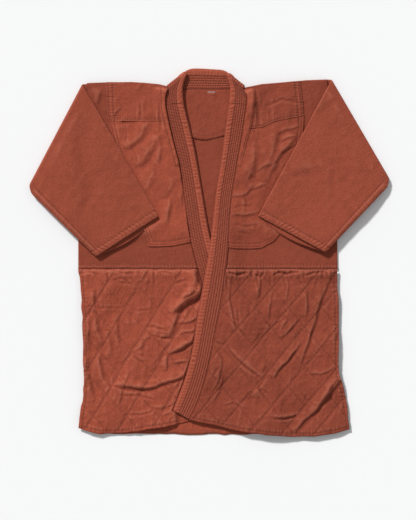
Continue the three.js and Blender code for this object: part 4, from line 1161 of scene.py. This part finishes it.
def skirt_left_rest(x, y):
    """Underside of the left skirt, over the right one and the hidden end of the right lapel."""
    on_right_skirt = SKIRT_REST + SKIRT_CLOTH + PLY_GAP
    middle = (table_at(RIGHT_SEAM, y) + table_at(RIGHT_EDGE, y)) / 2
    aside = (x - middle) * HIDDEN_LAPEL_SLANT
    base = lerp(on_right_skirt, SKIRT_REST, smooth((aside - RIGHT_SKIRT_END) / RIGHT_SKIRT_EASE))
    foot = smooth((np.abs(aside) - HIDDEN_LAPEL_TOP) / HIDDEN_LAPEL_EASE)
    bump = (OVER_HIDDEN_LAPEL - base) * (1 - foot)
    seam = table_at(LEFT_SEAM, y) + SEAM_GAP
    at_lapel = (table_at(LEFT_REST, y) - base) * (1 - smooth((x - seam) / LAPEL_REACH))
    return base + np.maximum(np.maximum(bump, at_lapel), 0)


def skirt_left(u, v):
    x, y = panel(
        u, v, moved(curve(LEFT_SEAM), SEAM_GAP), wavy(curve(LEFT_SKIRT_SIDE), 1.2, 26, 145),
        wavy(straight(LEFT_HEM), 1.0, 26, 147), waist_seam,
    )
    cut = x + 1.8 * uneven(x, y, 60, 121), y + 1.8 * uneven(x, y, 60, 122)
    below = WAIST - y
    hem = y - line_at(LEFT_HEM, x)
    side = table_at(LEFT_SKIRT_SIDE, y) - x
    relief = quilted(LEFT_QUILT, *cut, 123) * smooth(hem / 12)
    relief = relief + folds_at(LEFT_SKIRT_FOLDS, x, y)
    relief = relief + skirt_rumple(x, y, (3.8, 54, 0.9), 1.5, 1.2, 129)
    gathers = uneven(x, 0.3 * y, 10, 135, 0.25) + 0.7 * uneven(x, 0.35 * y, 5, 137, 0.25)
    relief = relief + 2.6 * (1 + gathers) * bell(below - 9, 13) + 0.8 * bell(below - 2, 6)
    relief = relief * smooth(below / 6 + 0.4 + 0.15 * uneven(x, 0 * x, 12, 153))
    relief = relief + creases_at(LEFT_SKIRT_CREASES, x, y)
    relief, rows = skirt_rows(relief, x, y, hem, side, 0.7, 139)
    relief = np.maximum(relief, 0)
    return laid(x, y, skirt_left_rest(x, y) + SKIRT_CLOTH + relief, relief, cut, rows)


# ---- lapels and collar ------------------------------------------------------------------------


def lapel_relief(share, along, seed):
    """Ribs between the rows of stitches, then the unstitched roll with its slanting puckers."""
    row = (share - RIB_START) / RIB_PITCH
    away = np.abs(row - np.round(row)) * RIB_PITCH * LAPEL_WIDTH
    ribbed = 1 - smooth((share - ROLL_START - 0.01) / 0.03)
    groove = -LAPEL_GROOVE * bell(away, 1.2) * ribbed
    lumps = 0.25 * uneven(along, share * 60, 9, seed) * ribbed
    roll = smooth((share - ROLL_START) / 0.1) * (1 - smooth((share - 0.88) / 0.12))
    slant = along - 14 * share
    drift = 5.5 * uneven(slant, share * 20, 24, seed + 1)
    pucker = np.cos(2 * np.pi * slant / 7.6 + drift)
    pucker = np.sign(pucker) * np.abs(pucker) ** 0.7 * (0.55 + 0.45 * uneven(slant, share * 9, 15, seed + 2))
    return groove + lumps + roll * (LAPEL_ROLL + 0.75 * pucker)


def section(u, height):
    """Round a lapel's section: share of the width, height on it, and how much it is its face."""
    edge = 0.06
    face_end, edge_end, under_end = LAPEL_SECTION
    upper = ramp(u, 0, face_end)
    turn_edge = ramp(u, face_end, edge_end)
    under = ramp(u, edge_end, under_end)
    turn_seam = ramp(u, under_end, 1)
    share = lerp(0.0, 1 - edge, upper) + edge * np.sin(np.pi * turn_edge) - (1 - edge) * under
    z = height * (1 - 0.5 * (1 - np.cos(np.pi * turn_edge))) + height * turn_seam
    on_face = (u <= face_end) * smooth(upper / 0.03)
    return share, z, on_face


def lapel(seam_table, edge_table, rest_table, seam_ends, edge_ends, seed):
    def place(u, v):
        seam_y = lerp(seam_ends[0], seam_ends[1], v)
        edge_y = lerp(edge_ends[0], edge_ends[1], v)
        middle = (seam_y + edge_y) / 2
        press = table_at(LAPEL_PRESS, middle)
        share, z, on_face = section(u, LAPEL_HEIGHT * press)
        x = lerp(table_at(seam_table, seam_y), table_at(edge_table, edge_y), share)
        y = lerp(seam_y, edge_y, share)
        along = (seam_ends[0] - middle) * 1.02
        relief = lapel_relief(share, along, seed) * on_face
        round_seam = 1.3 * (1 - smooth(share / 0.06)) * on_face
        z = table_at(rest_table, middle) + z + relief * lerp(1, 0.8, press < 0.99) - round_seam
        return laid(x, y, z, relief, (share * LAPEL_WIDTH, along))

    return place


def collar_rows():
    """Rows of the collar from the right lapel round the neck to the left one."""
    rows = []
    first, last = COLLAR_BACK[0], COLLAR_BACK[-1]

    def front_rows(seam_table, edge_table, fold):
        found = []
        for share in np.linspace(0, 1, 30):
            seam_y = lerp(COLLAR_FOOT, fold[1], share)
            edge_y = lerp(COLLAR_FOOT + COLLAR_SLANT, fold[3], share)
            seam_x = lerp(table_at(seam_table, seam_y), fold[0], share ** 3)
            edge_x = lerp(table_at(edge_table, edge_y), fold[2], share ** 3)
            found.append([seam_x, seam_y, edge_x, edge_y, 0, 0, 0])
        return found

    def bend_rows(fold, side):
        length = math.hypot(fold[2] - fold[0], fold[3] - fold[1])
        outward = side * abs(fold[3] - fold[1]) / length, abs(fold[2] - fold[0]) / length
        return [[*fold, *outward, turn] for turn in np.linspace(0, math.pi, 16)[1:-1]]

    rows += front_rows(RIGHT_SEAM, RIGHT_EDGE, first)
    rows += bend_rows(first, -1)
    stations = np.arange(len(COLLAR_BACK))
    for place in np.linspace(0, len(COLLAR_BACK) - 1, 90):
        across = [table_at(list(zip(stations, column)), place) for column in COLLAR_BACK.T]
        rows.append([*across, 0, 0, math.pi])
    rows += bend_rows(last, 1)[::-1]
    rows += front_rows(LEFT_SEAM, LEFT_EDGE, last)[::-1]
    return np.array(rows, dtype=float)


COLLAR_ROWS = collar_rows()


def collar(u, v):
    index = v * (len(COLLAR_ROWS) - 1)
    stations = range(len(COLLAR_ROWS))
    columns = [np.interp(index, stations, column) for column in COLLAR_ROWS.T]
    seam_x, seam_y, edge_x, edge_y, out_x, out_y, turn = columns
    middle_x = COLLAR_ROWS[:, [0, 2]].mean(axis=1)
    middle_y = COLLAR_ROWS[:, [1, 3]].mean(axis=1)
    steps = np.maximum(np.hypot(np.diff(middle_x), np.diff(middle_y)), 0.9)
    along = np.interp(index, stations, np.concatenate([[0], np.cumsum(steps)]))
    back = smooth(turn / math.pi)
    face_end, edge_end, under_end = COLLAR_SECTION
    turn_edge = ramp(u, face_end, edge_end)
    turn_seam = ramp(u, under_end, 1)
    outside = 1 - smooth(turn_edge) + smooth(turn_seam)
    share = ramp(u, 0, face_end) - ramp(u, edge_end, under_end)
    joined = smooth(share / 0.04) * smooth((1 - share) / 0.03)
    relief = lapel_relief(share, along, 151) * joined
    rounding = LAPEL_HEIGHT * 0.15 * (bell(share, 0.03) + bell(share - 1, 0.05))
    outer = LAPEL_HEIGHT + relief * (1 - back) - rounding
    inner = -relief * back + rounding
    height = lerp(inner, outer, outside)
    radius = COLLAR_REST + height - COLLAR_AXIS
    reach = radius * np.sin(turn)
    x = lerp(seam_x, edge_x, share) + out_x * reach
    y = lerp(seam_y, edge_y, share) + out_y * reach
    z = COLLAR_AXIS + radius * np.cos(turn)
    shown = lerp(back, 1 - back, outside)
    return laid(x, y, z, relief * shown, (share * LAPEL_WIDTH, along))


# ---- sleeves ---------------------------------------------------------------------------------

SLEEVE_DEPTH = 2 * SLEEVE_WALL + SLEEVE_PINCH
FOLD_LENGTH = math.pi * (FOLD_CENTRE - SLEEVE_DEPTH / 2)


def sleeve_fold(spec):
    """Origin, direction and outward side of the line that a sleeve is folded over."""
    shoulder = np.array(spec.shoulder, dtype=float)
    direction = np.array(spec.fold_end, dtype=float) - shoulder
    direction /= np.linalg.norm(direction)
    outward = np.array([spec.side * abs(direction[1]), abs(direction[0])])
    return shoulder - outward * FOLD_CENTRE, direction, outward


def sleeve_relief(spec, run, distance, share, end, x, y):
    """What stands on the sleeve's upper face: hem, seam band, stitches and soft folds."""
    folded = distance - FOLD_LENGTH
    from_cuff = end - distance
    from_seam = share * SLEEVE_WIDTH
    hem = HEM_RISE * smooth((HEM_BAND - from_cuff) / 1.5 + 0.5)
    fell = FELL_RISE * smooth((FELL_BAND - from_seam) / 1.5 + 0.5) * smooth(folded / 20)
    soft = 1.5 * uneven(run, distance, 62, 161 + spec.side, 1.2, 2.2)
    soft = soft + 0.8 * uneven(run, distance, 24, 165 + spec.side, 0.4, 1.6)
    soft = soft + 0.35 * uneven(run, distance, 11, 167 + spec.side, 0.8, 1.4)
    rows = -1.2 * bell(from_cuff - HEM_BAND + 1, 1.8) - 1.4 * bell(from_seam - FELL_BAND + 1, 1.8)
    hem_puckers = puckers(from_cuff - HEM_BAND * 0.6, run, SLEEVE_PUCKERS, 7, 171)
    fell_puckers = puckers(from_seam - FELL_BAND * 0.6, distance, SLEEVE_PUCKERS, 7, 173)
    rows = rows + 0.8 * hem_puckers * smooth((24 - from_cuff) / 8)
    rows = rows + 0.7 * fell_puckers * smooth((24 - from_seam) / 8)
    laid_over = soft + 1.6 + rows + folds_at(spec.folds, x, y)
    fall = FELL_FALL * (1 - ramp(from_seam, 0, FELL_BAND)) ** 2
    laid_over = np.maximum(hem, fell) + np.maximum(laid_over, 0) * smooth(folded / 25 + 0.2)
    return laid_over - fall * smooth(folded / 25)


def sleeve(spec):
    """A flattened tube from the armhole outward, folded over the line from shoulder to fold end."""
    origin, direction, outward = sleeve_fold(spec)

    def to_fold(x, y):
        return ((x - origin[0]) * direction[0] + (y - origin[1]) * direction[1],
                (x - origin[0]) * outward[0] + (y - origin[1]) * outward[1])

    def from_fold(run, reach):
        return (origin[0] + direction[0] * run + outward[0] * reach,
                origin[1] + direction[1] * run + outward[1] * reach)

    def unfolded(corner):
        run, distance = to_fold(*corner)
        return run, FOLD_LENGTH - distance

    cuff_under = unfolded(spec.cuff_under)
    cuff_top = unfolded(spec.cuff_top)
    armhole_table = RIGHT_ARMHOLE if spec.side < 0 else LEFT_ARMHOLE

    def place(u, v):
        back_end, top_end, front_end = SLEEVE_SECTION
        on_back = ramp(u, 0, back_end)
        over_top = ramp(u, back_end, top_end)
        on_front = ramp(u, top_end, front_end)
        over_seam = ramp(u, front_end, 1)
        back = (u <= (back_end + top_end) / 2) | (u > (front_end + 1) / 2)
        inset = SLEEVE_DEPTH / 2 / SLEEVE_WIDTH
        share = lerp(inset, 1 - inset, on_back - on_front)
        share = share + inset * (np.sin(np.pi * over_top) - np.sin(np.pi * over_seam))
        inner = np.clip(share, 0, 1)
        z = SLEEVE_DEPTH / 2 * (np.cos(np.pi * over_seam) - np.cos(np.pi * over_top))
        arm_y = lerp(spec.armpit[1], spec.armhole_top[1], share)
        start_run, start = to_fold(table_at(armhole_table, arm_y) + spec.side * SEAM_GAP, arm_y)
        end_run = lerp(cuff_under[0], cuff_top[0], share)
        end = lerp(cuff_under[1], cuff_top[1], share)
        lower_layer = np.where(back, 0, CUFF_REACH * np.sin(np.pi * inner))
        fold, folded_over, hem = SLEEVE_STAGES
        distance = lerp(start, 0, ramp(v, 0, fold)) + FOLD_LENGTH * ramp(v, fold, folded_over)
        distance = distance + (end - HEM_BAND - FOLD_LENGTH) * ramp(v, folded_over, hem)
        distance = distance + (HEM_BAND + lower_layer) * ramp(v, hem, 1)
        run = lerp(start_run, end_run, (distance - start) / (end - start))
        folded = distance - FOLD_LENGTH
        near_fold = np.clip(1 - np.abs(distance - FOLD_LENGTH / 2) / CORNER, 0, 1)
        run = run - CORNER * (1 - np.sqrt(1 - near_fold ** 2)) * (1 - inner) ** 6
        raised = sleeve_relief(spec, run, distance, share, end, *from_fold(run, -folded))
        lens = CUFF_LENS * np.sin(np.pi * inner) * smooth((folded - LENS_START) / LENS_EASE)
        z = np.where(back, z - raised - lens * np.clip(share * 12, 0, 1), z)
        lift = spec.lift * (1 - share) ** 2 * smooth(folded / 60)
        turn = np.clip(distance / FOLD_LENGTH, 0, 1) * np.pi
        radius = FOLD_CENTRE - z
        bent = folded < 0
        reach = np.where(distance <= 0, distance, np.where(bent, radius * np.sin(turn), -folded))
        over = np.where(bent, FOLD_CENTRE - radius * np.cos(turn), 2 * FOLD_CENTRE - z + lift)
        height = np.where(distance <= 0, z, over)
        x, y = from_fold(run, reach)
        from_row = np.minimum(end - distance - HEM_BAND, share * SLEEVE_WIDTH - FELL_BAND) + 1
        rows = np.clip(-from_row, -NO_ROW, ROW_STEP + NO_ROW), run + distance
        return laid(x, y, height, np.where(back, raised, 0), (run, distance), rows)

    return place


# ---- the jacket ------------------------------------------------------------------------------


def cut_and_laid(piece, width, length, share, held, rests_on):
    """Works out the area of a piece from the rectangle it was cut to, in millimetres, and the share of that
    rectangle it fills.
    """
    area = width * length * share * MM * MM


back = sew("back_panel", (80, 60), back_panel, BODY, BODY_CLOTH, dye=0.12)
back_skirt_piece = sew("back_skirt", (100, 50), back_skirt, SKIRT, SKIRT_CLOTH, quilt=RIGHT_QUILT)
yoke = sew("back_yoke", (90, 36), back_yoke, PATCH, YOKE_CLOTH, dye=0.18)
label = sew("neck_label", (26, 9), neck_label, LABEL, LABEL_CLOTH)
cut_and_laid(back, 569, 410, 0.93, "laid", ())
cut_and_laid(back_skirt_piece, 575, 365, 0.99, "laid", ())
cut_and_laid(yoke, 300, 105, 0.93, "laid", back)
cut_and_laid(label, 26, 11, 0.82, "laid", yoke)  # 26 x 9: no side is stated under 10 mm

# A front's own cut, then its chest patch, shoulder patch and neck strip: [width, length, share].
FRONT_CUTS = {
    "right": [[261, 410, 0.83], [133, 273, 0.87], [131, 84, 0.98], [13, 182, 0.84]],
    "left": [[242, 412, 0.87], [135, 270, 0.95], [132, 106, 0.85], [21, 180, 0.7]],
}
for front in FRONTS:
    front_piece = sew(
        f"front_{front.word}", (84, 150), partial(front_panel, front), BODY, BODY_CLOTH, dye=0.12)
    patch_piece = sew(
        f"chest_patch_{front.word}", (70, 124), partial(chest_patch, front), PATCH, PATCH_CLOTH,
        dye=front.dye)
    shoulder_piece = sew(
        f"shoulder_patch_{front.word}", (70, 50), partial(shoulder_patch, front), PATCH, PATCH_CLOTH,
        dye=front.dye + 0.09)
    strip_piece = sew(
        f"neck_strip_{front.word}", (8, 100), partial(neck_strip, front), PATCH, PATCH_CLOTH)
    front_cut, patch_cut, shoulder_cut, strip_cut = FRONT_CUTS[front.word]
    cut_and_laid(front_piece, *front_cut, "laid", (back, yoke))
    cut_and_laid(patch_piece, *patch_cut, "laid", front_piece)
    cut_and_laid(shoulder_piece, *shoulder_cut, "laid", front_piece)
    cut_and_laid(strip_piece, *strip_cut, "laid", (patch_piece, shoulder_piece))
right_skirt = sew(
    "skirt_right", (190, 176), skirt_right, SKIRT, SKIRT_CLOTH, dye=0.04, quilt=RIGHT_QUILT)
left_skirt = sew(
    "skirt_left", (180, 184), skirt_left, SKIRT, SKIRT_CLOTH, dye=0.23, quilt=LEFT_QUILT)
cut_and_laid(right_skirt, 380, 363, 0.8, "laid", back_skirt_piece)
cut_and_laid(left_skirt, 355, 369, 0.77, "laid", (right_skirt, back_skirt_piece))
right_lapel = sew(
    "lapel_right", (56, 390),
    lapel(RIGHT_SEAM, RIGHT_EDGE, RIGHT_REST, (324.5, -336), (327.5, -319), 181),
    LAPEL, COVER_CLOTH, "capped")
left_lapel = sew(
    "lapel_left", (56, 400),
    lapel(LEFT_SEAM, LEFT_EDGE, LEFT_REST, (324.5, -366), (327.5, -345), 191),
    LAPEL, COVER_CLOTH, "capped")
collar_piece = sew("collar", (84, 178), collar, LAPEL, COVER_CLOTH, "capped")
cut_and_laid(right_lapel, 96, 682, 1, "laid", (back, back_skirt_piece))
cut_and_laid(left_lapel, 96, 694, 1, "laid", (right_lapel, right_skirt))
cut_and_laid(collar_piece, 96, 250, 1, "folded", (back, yoke))
right_sleeve = sew("sleeve_right", (170, 118), sleeve(RIGHT_SLEEVE), BODY, SLEEVE_WALL, "open")
left_sleeve = sew("sleeve_left", (170, 118), sleeve(LEFT_SLEEVE), BODY, SLEEVE_WALL, "open")
cut_and_laid(right_sleeve, 520, 326, 0.86, "folded", "front_right_cloth")
cut_and_laid(left_sleeve, 528, 334, 0.86, "folded", "front_left_cloth")

# ---- floor, light and camera ------------------------------------------------------------------


FLOOR_GREY = (0.829, 0.829, 0.829, 1.0)
SUN_FROM = (-0.56, 0.83, 0.78)
SUN_STRENGTH = 3.58
SUN_WIDTH = 7  # degrees
SKY = (0.98, 0.99, 1.0, 1.0)
SKY_STRENGTH = 0.44
CAMERA_HEIGHT = 4.0  # metres, as the other lengths of the camera
VIEW_HEIGHT = 1.144
VIEW_OFFSET = (-0.004, -0.0156)
SENSOR_HEIGHT = 24  # millimetres


def floor():
    mesh = bpy.data.meshes.new("floor")
    body = bmesh.new()
    bmesh.ops.create_grid(body, x_segments=1, y_segments=1, size=6.0)
    body.to_mesh(mesh)
    body.free()
    plain = bpy.data.materials.new("floor")
    plain.use_nodes = True
    shader = plain.node_tree.nodes["Principled BSDF"]
    shader.inputs["Base Color"].default_value = FLOOR_GREY
    shader.inputs["Roughness"].default_value = 1.0
    shader.inputs["Specular IOR Level"].default_value = 0.0
    mesh.materials.append(plain)
    plane = bpy.data.objects.new("floor", mesh)
    bpy.context.collection.objects.link(plane)


floor()

sun_data = bpy.data.lights.new("key", "SUN")
sun_data.energy = SUN_STRENGTH
sun_data.angle = math.radians(SUN_WIDTH)
sun = bpy.data.objects.new("key", sun_data)
bpy.context.collection.objects.link(sun)
tilt = math.atan2(math.hypot(*SUN_FROM[:2]), SUN_FROM[2])
sun.rotation_euler = (tilt, 0, math.atan2(SUN_FROM[0], -SUN_FROM[1]))

world = bpy.data.worlds.new("studio")
bpy.context.scene.world = world
world.use_nodes = True
backdrop = world.node_tree.nodes["Background"]
backdrop.inputs["Color"].default_value = SKY
backdrop.inputs["Strength"].default_value = SKY_STRENGTH
bpy.context.scene.view_settings.view_transform = "Standard"

lens_data = bpy.data.cameras.new("camera")
lens_data.sensor_fit = "VERTICAL"
lens_data.sensor_height = SENSOR_HEIGHT
lens_data.lens = SENSOR_HEIGHT * CAMERA_HEIGHT / VIEW_HEIGHT
camera = bpy.data.objects.new("camera", lens_data)
camera.location = (SHIFT[0] + VIEW_OFFSET[0], SHIFT[1] + VIEW_OFFSET[1], CAMERA_HEIGHT)
bpy.context.collection.objects.link(camera)
bpy.context.scene.camera = camera
